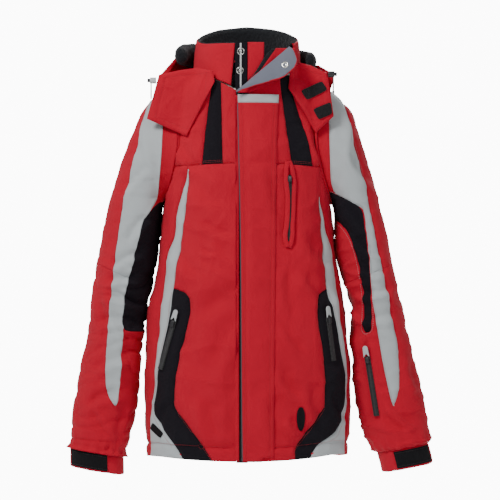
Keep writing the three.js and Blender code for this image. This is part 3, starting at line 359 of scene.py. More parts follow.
seam_height = through([
    [0, FRONT_NECK], [8, FRONT_NECK + 11], [16, FRONT_NECK + 21], [28, BODY_LENGTH - 12],
    [40, BODY_LENGTH - 6], [60, BODY_LENGTH - 2], [90, BODY_LENGTH], [180, BODY_LENGTH],
])


def front_line(z):
    return -136 + 0.048 * np.asarray(z, float)


def outline(angle, wide, front, back, power):
    s, c = np.sin(angle), np.cos(angle)
    x = wide * np.sign(s) * np.abs(s) ** (2 / power)
    y = (front + back) / 2 - ((back - front) / 2) * np.sign(c) * np.abs(c) ** (2 / power)
    return x, y


def body(z, angle, depth=0.0):
    """Points of the body's surface, or of a layer at a depth inside it."""
    z, angle = np.broadcast_arrays(np.asarray(z, float), np.asarray(angle, float))
    x, y = outline(angle, half_width(z) - depth, front_line(z) + depth, back_line(z) - depth, roundness(z))
    return np.stack([x, y, z], -1)


def angle_at(x, z):
    share = np.minimum(np.abs(x) / half_width(z), 1)
    return np.sign(x) * np.arcsin(share ** (roundness(z) / 2))


def front_at(x, z):
    return body(z, angle_at(x, z))[..., 1]


def round_from_front(angle):
    """Degrees round from the centre front, the same on both sides."""
    turn = np.abs(np.degrees(angle)) % 360
    return np.where(turn > 180, 360 - turn, turn)


def neck_seam(angle):
    return seam_height(round_from_front(angle))


print("half-width at the hem and chest:", half_width(0), half_width(490))

# %% [markdown]
# ## Seams that cut the cloth
# A fine grid covers the whole body, and each seam is the line where some field is zero. Cutting the
# grid along that line gives edges as crisp as a real seam without the grid having to follow them.
# The cut points are remembered, because cloth sinks at a seam and swells between seams.


# %% A grid of cloth and a cut through it
def weave(points, wrap=False, **layers):
    """A bmesh grid through points (rows, columns, 3), with named values kept on its corners."""
    rows, columns = points.shape[:2]
    bm = bmesh.new()
    for name in ("seam", *layers):
        bm.verts.layers.float.new(name)
    corners = [bm.verts.new(p) for p in points.reshape(-1, 3)]
    for name, values in layers.items():
        layer = bm.verts.layers.float[name]
        for corner, value in zip(corners, np.broadcast_to(values, (rows, columns)).ravel()):
            corner[layer] = value
    for j in range(rows - 1):
        for i in range(columns if wrap else columns - 1):
            k = (i + 1) % columns
            ring = (j * columns + i, j * columns + k, (j + 1) * columns + k, (j + 1) * columns + i)
            bm.faces.new([corners[n] for n in ring])
    bm.verts.index_update()
    return bm


def values_of(bm, *names):
    """The corners' points and their named values, as arrays."""
    points = np.array([v.co[:] for v in bm.verts])
    found = [np.array([v[bm.verts.layers.float[name]] for v in bm.verts]) for name in names]
    return (points, *found)


def cut(bm, field, snap=0.35):
    """Splits the grid where field is zero and marks the line as a seam. field is one value a corner."""
    field = np.where(np.abs(field) < snap, 0, field)
    bm.verts.index_update()
    value = field.tolist()
    seam = bm.verts.layers.float["seam"]
    line = {v for v in bm.verts if value[v.index] == 0}
    crossing = []
    for edge in bm.edges:
        a, b = edge.verts
        if value[a.index] * value[b.index] < 0:
            crossing.append((edge, a, value[a.index] / (value[a.index] - value[b.index])))
    for edge, a, share in crossing:
        line.add(bmesh.utils.edge_split(edge, a, share)[1])
    for face in {f for v in line for f in v.link_faces}:
        here = [v for v in face.verts if v in line]
        if len(here) == 2 and not any(set(e.verts) == set(here) for e in face.edges):
            bmesh.utils.face_split(face, *here)
    for v in line:
        v[seam] = 1
    bm.verts.index_update()


# %% [markdown]
# ## How the cloth is moved
# Three things shape it: it sinks at seams and swells between them, it hangs in long folds that start
# where the body pulls it, and it has a small irregular crumple. Each fold is a line with a width and a
# depth.


# %% Folds and crumples
def fold_depth(x, z, folds):
    """How far the listed folds push the cloth out: each has a start, an end, a width and a depth."""
    total = np.zeros_like(x)
    for x0, z0, x1, z1, width, depth in folds:
        length = math.hypot(x1 - x0, z1 - z0)
        ux, uz = (x1 - x0) / length, (z1 - z0) / length
        along = ((x - x0) * ux + (z - z0) * uz) / length
        bend = np.sin(along * math.pi) * width * 0.5
        across = (x - x0) * -uz + (z - z0) * ux + bend
        ends = np.clip(np.minimum(along, 1 - along) / 0.35 + 0.25, 0, 1)
        beside = (across - 1.5 * width) / (0.8 * width)
        ridge = np.exp(-((across / width) ** 2)) - 0.8 * np.exp(-(beside ** 2))
        total += depth * ridge * ends * ends * (3 - 2 * ends)
    return total


def crumple(points, size, seed, stretch=(1, 1, 1)):
    """Smooth noise between -1 and 1 over points, with features of a size in millimetres."""
    scaled = points / (np.array(stretch) * size) + seed * 7.3
    return np.array([noise.noise(Vector(p)) for p in scaled])


def creases(points, size, seed, stretch=(1, 1, 1)):
    """Sharp-edged noise: thin ridges as in crushed cloth, between 0 and 1."""
    return np.clip(1 - 3.2 * np.abs(crumple(points, size, seed, stretch)), 0, 1) ** 2


def seam_distance(bm, points, extra=()):
    """How far each point is from the nearest seam."""
    seam = bm.verts.layers.float["seam"]
    marks = [v.co.copy() for v in bm.verts if v[seam] > 0.5]
    marks += [Vector(p) for p in extra]
    tree = KDTree(len(marks))
    for i, mark in enumerate(marks):
        tree.insert(mark, i)
    tree.balance()
    return np.array([tree.find(p)[2] for p in points])


def swell(distance, sink=3.2, puff=2.2):
    """Cloth sinks along a seam and is fullest some way from it."""
    return -sink * np.exp(-distance / 5) + puff * (1 - np.exp(-distance / 30))


def normals_of(bm):
    bm.normal_update()
    return np.array([v.normal[:] for v in bm.verts])


def part_faces(bm, label):
    """Splits the grid's faces by a label for each face: {label: (points, faces)}."""
    bm.verts.index_update()
    parts = {}
    for face, name in zip(bm.faces, label):
        parts.setdefault(name, []).append([v.index for v in face.verts])
    points = np.array([v.co[:] for v in bm.verts])
    found = {}
    for name, faces in parts.items():
        used = sorted({i for f in faces for i in f})
        lookup = {old: new for new, old in enumerate(used)}
        found[name] = (points[used], [[lookup[i] for i in f] for f in faces])
    return found


def middle_of_faces(bm, *names):
    """The middle of each face, and its mean named values."""
    centres = np.array([f.calc_center_median()[:] for f in bm.faces])
    found = []
    for name in names:
        layer = bm.verts.layers.float[name]
        found.append(np.array([sum(v[layer] for v in f.verts) / len(f.verts) for f in bm.faces]))
    return (centres, *found)


# %% Finished pieces
def new_object(name, points, faces, material, smooth=True):
    """A mesh object in the room from pattern points."""
    mesh = bpy.data.meshes.new(name)
    mesh.from_pydata(place(points).tolist(), [], faces)
    mesh.materials.append(material)
    if smooth:
        mesh.polygons.foreach_set("use_smooth", [True] * len(mesh.polygons))
    mesh.update()
    made = bpy.data.objects.new(name, mesh)
    bpy.context.collection.objects.link(made)
    return made


def bake(made):
    """Turns the modifiers' result into a plain mesh."""
    bpy.context.view_layer.update()
    graph = bpy.context.evaluated_depsgraph_get()
    mesh = bpy.data.meshes.new_from_object(made.evaluated_get(graph), depsgraph=graph)
    old = made.data
    made.modifiers.clear()
    made.data = mesh
    bpy.data.meshes.remove(old)
    return made


def thicken(made, thickness, inward=True):
    """Gives a sheet its thickness in millimetres, with closed edges."""
    wall = made.modifiers.new("wall", "SOLIDIFY")
    wall.thickness = thickness / 1000
    wall.offset = -1 if inward else 0
    wall.use_even_offset = False
    return bake(made)


def settle(made, body_name, slot, *nodes):
    """Puts a piece on its body and hides the measured parts that it stands for. slot is not used."""
    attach(made, body_name)
    if nodes:
        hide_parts(*nodes)
    return made


def area_of(points, faces):
    """The area of a sheet in square metres."""
    total = 0.0
    for face in faces:
        corners = [Vector(points[i]) for i in face]
        for a, b in zip(corners[1:-1], corners[2:]):
            total += (a - corners[0]).cross(b - corners[0]).length / 2
    return total / 1e6


def declare_sheet(made, points, faces):
    """Works out the flat area and the size of a sheet, and does nothing more with them."""
    flat = area_of(points, faces)
    size = np.ptp(points, axis=0) / 1000

# %% [markdown]
# ## The body's panels
# The front has a black pocket panel and a silver stripe on each side, and black stripes on the yoke.
# Their edges are given as a few widths at heights, joined by smooth curves. A region is inside where
# the largest of its edge fields is negative, so one rule both cuts the cloth and names the pieces.

# %% Seam lines of the front
ZIP_X = -10
ZIP_TAPE_WIDTH = 22
POCKET_TOP = 330
SIDE_SEAM = math.radians(112)
TURN = 2 * math.pi
EDGES = {
    "right_stripe_outer": [[0, -187], [40, -188], [150, -180], [300, -167], [350, -159], [400, -152],
                           [430, -140], [480, -134], [556, -112]],
    "right_stripe_inner": [[0, -122], [22, -136], [55, -160], [100, -179], [140, -176], [190, -168],
                           [260, -152], [330, -141], [400, -130], [480, -119], [556, -111]],
    "right_pocket_inner": [[0, -66], [30, -86], [70, -115], [110, -140], [150, -138], [210, -127],
                           [260, -114], [290, -109], [310, -110], [322, -119], [POCKET_TOP, -140]],
    "left_stripe_outer": [[0, 187], [40, 189], [110, 192], [190, 190], [270, 180], [340, 170],
                          [400, 163], [440, 152], [505, 138]],
    "left_stripe_inner": [[0, 119], [22, 132], [50, 171], [85, 184], [120, 189], [150, 188],
                          [210, 179], [280, 166], [330, 154], [400, 148], [440, 143], [505, 137]],
    "left_pocket_inner": [[0, 90], [20, 91], [45, 106], [65, 122], [85, 137], [105, 147], [150, 148],
                          [210, 144], [260, 136], [300, 134], [320, 141], [POCKET_TOP, 154]],
    "right_yoke_outer": [[CHEST_SEAM, -88], [620, -81], [720, -69]],
    "right_yoke_inner": [[CHEST_SEAM, -47], [620, -48], [720, -51]],
    "left_yoke_inner": [[CHEST_SEAM, 87], [620, 77], [720, 63]],
    "left_yoke_outer": [[CHEST_SEAM, 126], [620, 112], [720, 81]],
}
edge_x = {name: through(pairs) for name, pairs in EDGES.items()}


def edge_angle(name, z):
    """The angle of an edge at a height, counted from the wearer's left of the zip right round."""
    angle = angle_at(edge_x[name](z), z)
    return np.where(angle < 0, angle + TURN, angle)


def chest_height(x):
    return CHEST_SEAM + 13 - 5 * np.minimum(np.abs(x) / 130, 1) ** 2


REGIONS = {  # region: (edge it starts at, edge it ends at, lowest z, highest z), going round the body
    "right_pocket_panel": ("right_stripe_inner", "right_pocket_inner", -50, POCKET_TOP),
    "right_side_stripe": ("right_stripe_outer", "right_stripe_inner", -50, 556),
    "left_pocket_panel": ("left_pocket_inner", "left_stripe_inner", -50, POCKET_TOP),
    "left_side_stripe": ("left_stripe_inner", "left_stripe_outer", -50, 505),
    "right_yoke_stripe": ("right_yoke_outer", "right_yoke_inner", None, 900),
    "left_yoke_stripe": ("left_yoke_inner", "left_yoke_outer", None, 900),
}


def region(name, points, angle):
    """Negative inside the region, positive outside, in about millimetres."""
    first, last, low, high = REGIONS[name]
    x, z = points[:, 0], points[:, 2]
    floor_z = chest_height(x) if low is None else low
    wide = half_width(z)
    sides = np.maximum(edge_angle(first, z) - angle, angle - edge_angle(last, z)) * wide
    return np.maximum(sides, np.maximum(floor_z - z, z - high))


# %% The body's cloth
ARM_Z = 604
BODY_ROWS = 190
BODY_COLUMNS = 330
HEM_BAND = 26
BODY_FOLDS = [  # start x, z, end x, z, width, depth
    (-96, 452, -34, 420, 9, 1.8), (-92, 398, -58, 390, 6, 1.5), (-70, 420, -40, 372, 9, 1.4),
    (-120, 520, -50, 470, 16, 1.6), (30, 520, 62, 440, 12, 1.5), (24, 560, 56, 486, 10, 1.3),
    (-20, 360, -100, 300, 20, 2.2), (-40, 300, -90, 190, 22, 2.4), (-10, 250, -60, 120, 20, 2.4),
    (64, 380, 72, 270, 12, 2.2), (60, 262, 96, 200, 9, 2.2), (52, 170, 92, 110, 12, 3.2),
    (70, 80, 100, 40, 10, 3.0), (104, 150, 128, 60, 14, 2.6), (30, 130, 44, 30, 16, 2.2),
    (-50, 110, -30, 30, 18, 2.2), (-96, 120, -70, 40, 14, 2.4), (100, 420, 150, 360, 14, 2.4),
    (96, 360, 140, 290, 12, 2.2), (-150, 400, -100, 340, 14, 2.2), (-160, 250, -110, 200, 12, 1.6),
    (-140, 600, -100, 540, 12, 2.4), (110, 640, 140, 560, 10, 2.4), (20, 620, 80, 600, 12, 1.2),
    (165, 330, 180, 230, 8, 2.0), (-176, 330, -186, 220, 8, 2.0), (-150, 130, -184, 60, 9, 1.8),
    (150, 120, 186, 60, 9, 2.0), (0, 400, 60, 340, 20, 1.5), (-60, 660, -30, 600, 14, 1.2),
]
BACK_FOLDS = [
    (-120, 480, 20, 430, 22, 3.0), (110, 500, 10, 400, 20, 2.6), (-90, 380, -30, 250, 24, 3.0),
    (60, 360, 110, 220, 22, 3.0), (-20, 240, 30, 80, 22, 2.6), (-130, 200, -90, 60, 18, 2.6),
    (120, 180, 90, 40, 18, 2.6), (-150, 520, -110, 420, 14, 2.6), (150, 520, 120, 410, 14, 2.6),
]


def round_angles(count):
    """Shares of the way round that space the grid's columns evenly along the cloth."""
    tries = np.linspace(0, 1, 1500)
    start, end = angle_at(ZIP_X + ZIP_TAPE_WIDTH / 2, 300), TURN + angle_at(ZIP_X - ZIP_TAPE_WIDTH / 2, 300)
    ring = body(300, mix(start, end, tries))
    steps = np.concatenate([[0], np.cumsum(np.linalg.norm(np.diff(ring, axis=0), axis=1))])
    return np.interp(np.linspace(0, steps[-1], count), steps, tries)


def body_grid(rows, columns, depth):
    """Points and angles of a layer of the body from hem to neck, from one side of the zip to the other."""
    share = round_angles(columns)[None, :]
    v = np.linspace(0, 1, rows)[:, None]
    left = lambda z: angle_at(ZIP_X + ZIP_TAPE_WIDTH / 2, z)
    right = lambda z: TURN + angle_at(ZIP_X - ZIP_TAPE_WIDTH / 2, z)
    rough = mix(left(CHEST_SEAM), right(CHEST_SEAM), share)
    z = v * neck_seam(rough)
    angle = mix(left(z), right(z), share)
    return body(z, angle, depth), angle


ZIP_LINES = {  # the pocket zips in front view, where the cloth lies flat
    "right_pocket": (-138, 270, -165, 176), "left_pocket": (153, 276, 164, 192),
    "chest_pocket": (79, 546, 80, 420), "sleeve_pocket": (230, 200, 248, 86),
}


def loose(x, z, names):
    """0 along the named zips and 1 away from them."""
    nearest = np.full(len(x), 1e9)
    for name in names:
        x0, z0, x1, z1 = ZIP_LINES[name]
        dx, dz = x1 - x0, z1 - z0
        t = np.clip(((x - x0) * dx + (z - z0) * dz) / (dx * dx + dz * dz), 0, 1)
        nearest = np.minimum(nearest, np.hypot(x - x0 - t * dx, z - z0 - t * dz))
    share = np.clip((nearest - 7) / 16, 0, 1)
    return share * share * (3 - 2 * share)


def drape(points, normals, angle, swelling):
    """Moves the body's points out by its folds, its crumple and its swelling, and lifts the hem's sides."""
    x, y, z = points.T
    front = np.cos(angle) > 0
    folds = np.where(front, 1.9 * fold_depth(x, z, BODY_FOLDS), 1.6 * fold_depth(x, z, BACK_FOLDS))
    depth = swelling + folds
    depth = depth + 3.0 * crumple(points, 95, 1, (1, 1, 1.3)) + 1.2 * crumple(points, 34, 2)
    depth = depth + 1.7 * creases(points, 66, 3, (1.6, 1, 0.8))
    depth = depth + 1.1 * creases(points, 34, 4, (0.8, 1, 1.7))
    calm = np.where(front, loose(x, z, ["right_pocket", "left_pocket", "chest_pocket"]), 1)
    depth = depth * calm - 0.8 * (1 - calm)
    quiet = np.clip((z + 4) / 20, 0.25, 1) * np.clip((760 - z) / 60, 0.2, 1)
    moved = points + normals * (depth * quiet)[:, None]
    side = np.where(x > 0, 15, 9) * np.clip(np.abs(x) / 190, 0, 1) ** 2 * np.clip(np.cos(angle) + 0.4, 0, 1)
    moved[:, 2] += side * np.clip(1 - z / 160, 0, 1) + 3
    moved[:, 2] -= 3 * np.clip(z / 100, 0, 1)
    return moved


def armhole_ring(side, count=90):
    """The seam of a sleeve head on the body's side."""
    angle = np.linspace(0, TURN, count, endpoint=False)
    y = ARM_Y - 72 * np.sin(angle)
    z = ARM_Z + 111 * np.cos(angle)
    return np.stack([side * side_at(y, z), y, z], -1)


def side_at(y, z):
    middle = (front_line(z) + back_line(z)) / 2
    share = np.minimum(np.abs(y - middle) / ((back_line(z) - front_line(z)) / 2), 0.98)
    return half_width(z) * (1 - share ** roundness(z)) ** (1 / roundness(z))


def body_label(bm):
    """The panel that each face of the body belongs to."""
    centres, angle = middle_of_faces(bm, "angle")
    z = centres[:, 2]
    side = np.where(angle < math.pi, "left_", "right_").astype(object)
    high = z > chest_height(centres[:, 0])
    names = side + np.where(high, "yoke_side", "side_panel").astype(object)
    zip_side = (angle < edge_angle("left_yoke_inner", z)) | (angle > edge_angle("right_yoke_inner", z))
    names[high & zip_side] = (side + "yoke_front")[high & zip_side]
    chest = (angle < edge_angle("left_stripe_outer", z)) | (angle > edge_angle("right_stripe_outer", z))
    names[~high & chest] = (side + "front_panel")[~high & chest]
    names[~high & (np.abs(angle - math.pi) < math.pi - SIDE_SEAM)] = "back_panel"
    for name in REGIONS:
        names[region(name, centres, angle) < 0] = name
    return names


grid, angles = body_grid(BODY_ROWS, BODY_COLUMNS, 0)
skin = weave(grid, angle=angles)
for name in REGIONS:
    points, angle = values_of(skin, "angle")
    cut(skin, region(name, points, angle))
points, angle = values_of(skin, "angle")
cut(skin, points[:, 2] - chest_height(points[:, 0]))
points, angle = values_of(skin, "angle")
below = np.maximum(points[:, 2] - CHEST_SEAM, 0)
cut(skin, np.where(below > 0, 50, (np.abs(angle - math.pi) - (math.pi - SIDE_SEAM)) * 180))
points, angle = values_of(skin, "angle")
cut(skin, points[:, 2] - HEM_BAND)
panel_names = body_label(skin)
points, angle = values_of(skin, "angle")
rings = np.concatenate([armhole_ring(-1), armhole_ring(1)])
away = seam_distance(skin, points, rings)
moved = drape(points, normals_of(skin), angle, swell(away))
for corner, point in zip(skin.verts, moved):
    corner.co = point
body_tree = BVHTree.FromBMesh(skin)
print("body cloth:", len(skin.faces), "faces")




# %% Finish the body's panels
SHELL_WALL = 1.2
MATERIAL_OF = {"shell_red": red_cloth, "silver_grey": silver_cloth, "ribbed_black": ribbed_cloth}


def slot_of(name):
    if "yoke_stripe" in name or "pocket" in name:
        return "ribbed_black"
    return "silver_grey" if "stripe" in name else "shell_red"


for name, (points, faces) in part_faces(skin, panel_names).items():
    slot = slot_of(name)
    piece = new_object(f"cloth_{name}", points, faces, MATERIAL_OF[slot])
    settle(thicken(piece, SHELL_WALL), "root", slot, name)
    declare_sheet(piece, points, faces)
    print("  ", name, len(faces), "faces")
skin.free()

# %% [markdown]
# ## Sleeves
# A sleeve is a tube through slanting sections from the armhole to the wrist. Its silver stripe and
# black elbow patch are outlines as seen from the front, cut out of the front half of the tube. The
# cloth crushes at the elbow, hangs in long folds below the shoulder and is gathered into the cuff.

# %% Sections of the sleeves
SLEEVES = {  # outer x, z, inner x, z, half the depth, middle y
    "right": [
        [-205, 672, -168, 482, 72, 6], [-231, 612, -169, 458, 70, 6], [-250, 556, -171, 430, 68, 5],
        [-267, 498, -175, 396, 66, 4], [-284, 422, -182, 352, 64, 2], [-297, 352, -189, 318, 61, 0],
        [-303, 300, -196, 292, 60, -2], [-310, 232, -203, 222, 58, -6], [-322, 180, -205, 168, 57, -9],
        [-333, 118, -211, 104, 55, -12], [-341, 61, -224, 46, 51, -14], [-344, 24, -236, 6, 47, -15],
    ],
    "left": [
        [203, 674, 168, 482, 72, 6], [222, 606, 168, 458, 70, 6], [238, 548, 169, 430, 68, 5],
        [252, 498, 171, 400, 66, 4], [269, 422, 180, 366, 64, 2], [284, 346, 194, 322, 61, 0],
        [294, 300, 201, 292, 60, -2], [309, 232, 203, 222, 58, -6], [329, 162, 205, 150, 57, -9],
        [337, 118, 212, 104, 55, -12], [347, 66, 228, 46, 51, -14], [351, 32, 248, 12, 47, -15],
    ],
}
CUFF_DROP = {"right": (1, -35), "left": (9, -36)}
STRIPES = {
    "right": [(-157, 747), (-166, 730), (-181, 697), (-199, 659), (-214, 593), (-227, 536), (-242, 460),
              (-256, 365), (-265, 270), (-271, 194), (-271, 146), (-265, 122), (-252, 101), (-244, 137),
              (-240, 222), (-237, 270), (-233, 327), (-218, 380), (-204, 450), (-185, 484), (-173, 506),
              (-165, 570), (-161, 640)],
    "left": [(156, 747), (166, 730), (185, 697), (195, 659), (223, 555), (233, 498), (252, 403),
             (275, 289), (290, 213), (292, 146), (286, 118), (278, 101), (261, 175), (248, 251),
             (237, 327), (233, 403), (225, 479), (221, 484), (190, 499), (160, 514), (157, 600)],
}
PATCHES = {
    "right": [(-120, 505), (-168, 499), (-185, 484), (-204, 450), (-218, 380), (-233, 327), (-240, 262),
              (-236, 249), (-220, 247), (-150, 247), (-150, 505)],
    "left": [(120, 520), (159, 514), (190, 499), (221, 484), (225, 456), (233, 384), (236, 327),
             (239, 248), (220, 243), (223, 289), (221, 327), (210, 388), (199, 422), (185, 445),
             (159, 469), (120, 480)],
}
SLEEVE_FOLDS = {
    "right": [
        (-196, 560, -250, 500, 9, 2.4), (-190, 470, -232, 420, 9, 2.8), (-200, 400, -262, 372, 8, 2.8),
        (-210, 350, -270, 344, 8, 3.0), (-205, 300, -282, 318, 8, 2.8), (-215, 262, -290, 268, 9, 2.6),
        (-290, 330, -250, 210, 10, 2.4), (-225, 200, -300, 176, 10, 2.0), (-240, 130, -310, 110, 9, 2.4),
        (-300, 100, -262, 40, 9, 2.4), (-232, 110, -250, 30, 8, 2.0), (-215, 640, -190, 540, 10, 2.0),
    ],
    "left": [
        (180, 590, 236, 520, 9, 2.4), (184, 480, 222, 430, 9, 2.6), (196, 420, 250, 380, 8, 2.8),
        (206, 360, 262, 348, 8, 3.0), (206, 310, 276, 320, 8, 3.0), (212, 262, 284, 270, 9, 2.8),
        (208, 240, 232, 170, 9, 3.0), (216, 160, 262, 120, 9, 2.6), (262, 110, 312, 60, 9, 2.6),
        (238, 90, 300, 44, 9, 2.4), (300, 200, 322, 120, 9, 2.2), (200, 650, 196, 560, 10, 2.2),
    ],
}
ELBOW_SPLIT = 4.6  # sections from the shoulder at which the upper and lower cloth meet
LAST_SECTION = 11


# %% A sleeve's surface and outlines
def sleeve_point(side, t, angle, depth=0.0):
    """Points of a sleeve at sections t: from -1 at the armhole, 0 at the first section, 11 at the wrist."""
    sections = SLEEVES[side]
    t, angle = np.broadcast_arrays(np.asarray(t, float), np.asarray(angle, float))
    curves = [through([[n, row[i]] for n, row in enumerate(sections)]) for i in range(6)]
    ox, oz, ix, iz, half, y = [curve(t) for curve in curves]
    length = np.hypot(ox - ix, oz - iz) / 2
    share = (length - depth) / length * np.cos(angle)
    tube = np.stack([(ox + ix) / 2 + (ox - ix) / 2 * share, y - (half - depth) * np.sin(angle),
                     (oz + iz) / 2 + (oz - iz) / 2 * share], -1)
    hole_y = ARM_Y - (72 - depth) * np.sin(angle)
    hole_z = ARM_Z + (111 - depth) * np.cos(angle)
    sign = -1 if side == "right" else 1
    hole = np.stack([sign * (side_at(hole_y, hole_z) + 1.5), hole_y, hole_z], -1)
    return np.where((t < 0)[..., None], mix(hole, tube, np.clip(t + 1, 0, 1)[..., None]), tube)


def rounded(outline_points, passes=2):
    """An outline with its corners cut back, so that its seams run in curves."""
    points = np.array(outline_points, float)
    for _ in range(passes):
        after = np.roll(points, -1, axis=0)
        points = np.stack([points * 0.8 + after * 0.2, points * 0.2 + after * 0.8], 1).reshape(-1, 2)
    return points


def inside(points, ring):
    """Distance to a closed outline in front view, negative inside."""
    x, z = points[:, 0], points[:, 2]
    nearest = np.full(len(x), 1e9)
    crossings = np.zeros(len(x), int)
    for (ax, az), (bx, bz) in zip(ring, np.roll(ring, -1, axis=0)):
        dx, dz = bx - ax, bz - az
        t = np.clip(((x - ax) * dx + (z - az) * dz) / max(dx * dx + dz * dz, 1e-9), 0, 1)
        nearest = np.minimum(nearest, np.hypot(x - ax - t * dx, z - az - t * dz))
        spans = (az > z) != (bz > z)
        crossings += spans & (x < ax + (z - az) / (dz if dz else 1e-9) * dx)
    return np.where(crossings % 2 == 1, -nearest, nearest)


SLEEVE_RINGS = {(side, kind): rounded(table[side])
                for kind, table in (("stripe", STRIPES), ("patch", PATCHES)) for side in SLEEVES}


def sleeve_region(side, kind, points, s):
    """Negative inside a stripe or patch, which lies on the front half only."""
    return np.maximum(inside(points, SLEEVE_RINGS[side, kind]), -s * 60)


# %% Make a sleeve
SLEEVE_ROWS = 172
SLEEVE_COLUMNS = 132
SMOOTHING = 14
sleeve_trees = {}


def sleeve_grid(side):
    head_rows = np.linspace(-1, 0, 14, endpoint=False)
    t = np.concatenate([head_rows, np.linspace(0, LAST_SECTION, SLEEVE_ROWS - 14)])
    angle = np.linspace(0, TURN, SLEEVE_COLUMNS, endpoint=False)
    points = sleeve_point(side, t[:, None], angle[None, :])
    for _ in range(SMOOTHING):
        points[1:-1] = points[1:-1] / 2 + (points[:-2] + points[2:]) / 4
    return points, t[:, None], angle[None, :]


def sleeve_drape(side, points, normals, t, s, c, away):
    x, _, z = points.T
    bent = np.exp(-(((t - 6) / 1.9) ** 2)) * np.clip(0.75 - 0.45 * c, 0, 1.3)
    low_arm = np.clip((t - 8) / 2, 0, 1)
    depth = swell(away, 2.4, 1.6) + np.where(s > -0.1, 1.6 * fold_depth(x, z, SLEEVE_FOLDS[side]), 0)
    depth = depth + (1.2 + 2.6 * bent) * crumple(points, 36, 5, (1.7, 1.7, 0.75))
    depth = depth + (1.4 + 3.8 * bent + 1.8 * low_arm) * creases(points, 42, 6, (1.8, 1.6, 0.7))
    depth = depth + 1.8 * crumple(points, 85, 7)
    gather = np.exp(-((LAST_SECTION - t) / 0.7) ** 2)
    round_arm = np.arctan2(s, c)
    if side == "left":
        calm = np.where(s > 0, loose(x, z, ["sleeve_pocket"]), 1)
        depth = depth * calm - 0.8 * (1 - calm)
    depth = depth + gather * (1.1 * np.sin(round_arm * 17 + 2 * np.sin(round_arm * 3)) + 1.0)
    end = np.clip((t - (LAST_SECTION - 0.3)) / 0.3, 0, 1)
    start = np.clip((t + 1) / 0.5, 0, 1)
    depth = depth * start - 7 * end ** 2 - 2.5 * (1 - start) * np.exp(-(t + 1) / 0.2)
    return points + normals * depth[:, None]


def make_sleeve(side):
    points, t, angle = sleeve_grid(side)
    tube = weave(points, wrap=True, t=t, s=np.sin(angle), c=np.cos(angle))
    for kind in ("stripe", "patch"):
        points, t, s = values_of(tube, "t", "s")
        cut(tube, sleeve_region(side, kind, points, s), snap=0.3)
    seam = tube.verts.layers.float["seam"]
    kept = {v for v in tube.verts if v[seam] > 0.5}
    points, t = values_of(tube, "t")
    cut(tube, (t - ELBOW_SPLIT) * 50, snap=0.3)
    for corner in tube.verts:
        corner[seam] = 1 if corner in kept else 0
    centres, t_mid, s_mid = middle_of_faces(tube, "t", "s")
    kind = np.full(len(centres), "red", dtype=object)
    kind[sleeve_region(side, "stripe", centres, s_mid) < 0] = "stripe"
    kind[sleeve_region(side, "patch", centres, s_mid) < 0] = "patch"
    label = kind + np.where(t_mid < ELBOW_SPLIT, "_upper", "_lower").astype(object)
    bmesh.ops.recalc_face_normals(tube, faces=tube.faces)
    points, t, s, c = values_of(tube, "t", "s", "c")
    normals = normals_of(tube)
    middle = sleeve_point(side, np.clip(t, 0, 11), np.full(len(t), math.pi / 2))
    if np.sum((points - middle)[:, 0] * normals[:, 0]) * (1 if side == "left" else -1) < 0:
        bmesh.ops.reverse_faces(tube, faces=tube.faces)
        normals = normals_of(tube)
    away = seam_distance(tube, points)
    for corner, point in zip(tube.verts, sleeve_drape(side, points, normals, t, s, c, away)):
        corner.co = point
    sleeve_trees[side] = BVHTree.FromBMesh(tube)
    found = part_faces(tube, label)
    tube.free()
    return found


SLEEVE_MATERIAL = {"red": ("shell_red", red_cloth), "stripe": ("silver_grey", silver_cloth),
                   "patch": ("ribbed_black", ribbed_cloth)}


def sleeve_blend(side, half):
    """The stretch over which the cloth turns from one body to the next: bodies, start and end."""
    sign = -1 if side == "right" else 1
    if half == "upper":
        return "root", f"{side}_upper_sleeve", (sign * 166, ARM_Y, 490), (sign * 222, ARM_Y, 468)
    return f"{side}_upper_sleeve", f"{side}_forearm", (sign * 250, 0, 332), (sign * 250, 0, 262)


def bend_with_arm(piece, side, half):
    first, second, start, end = sleeve_blend(side, half)
    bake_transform(piece, first, second, start=tuple(place(start)), end=tuple(place(end)))


for side in SLEEVES:
    for label, (points, faces) in make_sleeve(side).items():
        kind, half = label.split("_")
        slot, material = SLEEVE_MATERIAL[kind]
        piece = thicken(new_object(f"{side}_sleeve_{label}", points, faces, material), SHELL_WALL)
        if label == "red_upper":
            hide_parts(f"{side}_sleeve_head", f"{side}_upper_sleeve")
        if label == "red_lower":
            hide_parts(f"{side}_forearm")
        bend_with_arm(piece, side, half)
        declare_sheet(piece, points, faces)
        print("  ", side, label, len(faces), "faces")

# %% [markdown]
# ## Storm flap and front zip
# The flap is a second layer over the zip, sewn on the wearer's left and free on the right, where its
# edge carries a thin dark piping. It lies on the body's own folds, so it is drawn by lifting points
# off the finished front.

# %% Points in front of the body
def ahead(tree, x, z, off, fallback=-50.0):
    """The y a little in front of a finished surface at this x and z, in millimetres."""
    hit = tree.ray_cast(Vector((x, -400, z)), Vector((0, 1, 0)))[0]
    if hit and hit.y < fallback:
        return hit.y - off
    return (float(front_at(x, z)) if abs(x) < 30 else fallback) - off


def sheet_grid(left, right, low, high, rows, columns, tree, lift):
    """A grid whose sides are curves x(z), lying off a surface by lift(u, v)."""
    points = np.zeros((rows, columns, 3))
    for j, v in enumerate(np.linspace(0, 1, rows)):
        for i, u in enumerate(np.linspace(0, 1, columns)):
            z = mix(low, high, v)
            x = mix(left(z), right(z), u)
            points[j, i] = (x, ahead(tree, x, z, lift(u, v)), z)
    return points


def even_rows(grid):
    """Evens each column of a grid of points with its neighbours above and below."""
    y = grid[:, :, 1]
    grid[:, :, 1] = (y + np.roll(y, 1, 0) + np.roll(y, -1, 0)) / 3
    grid[0, :, 1], grid[-1, :, 1] = grid[1, :, 1], grid[-2, :, 1]


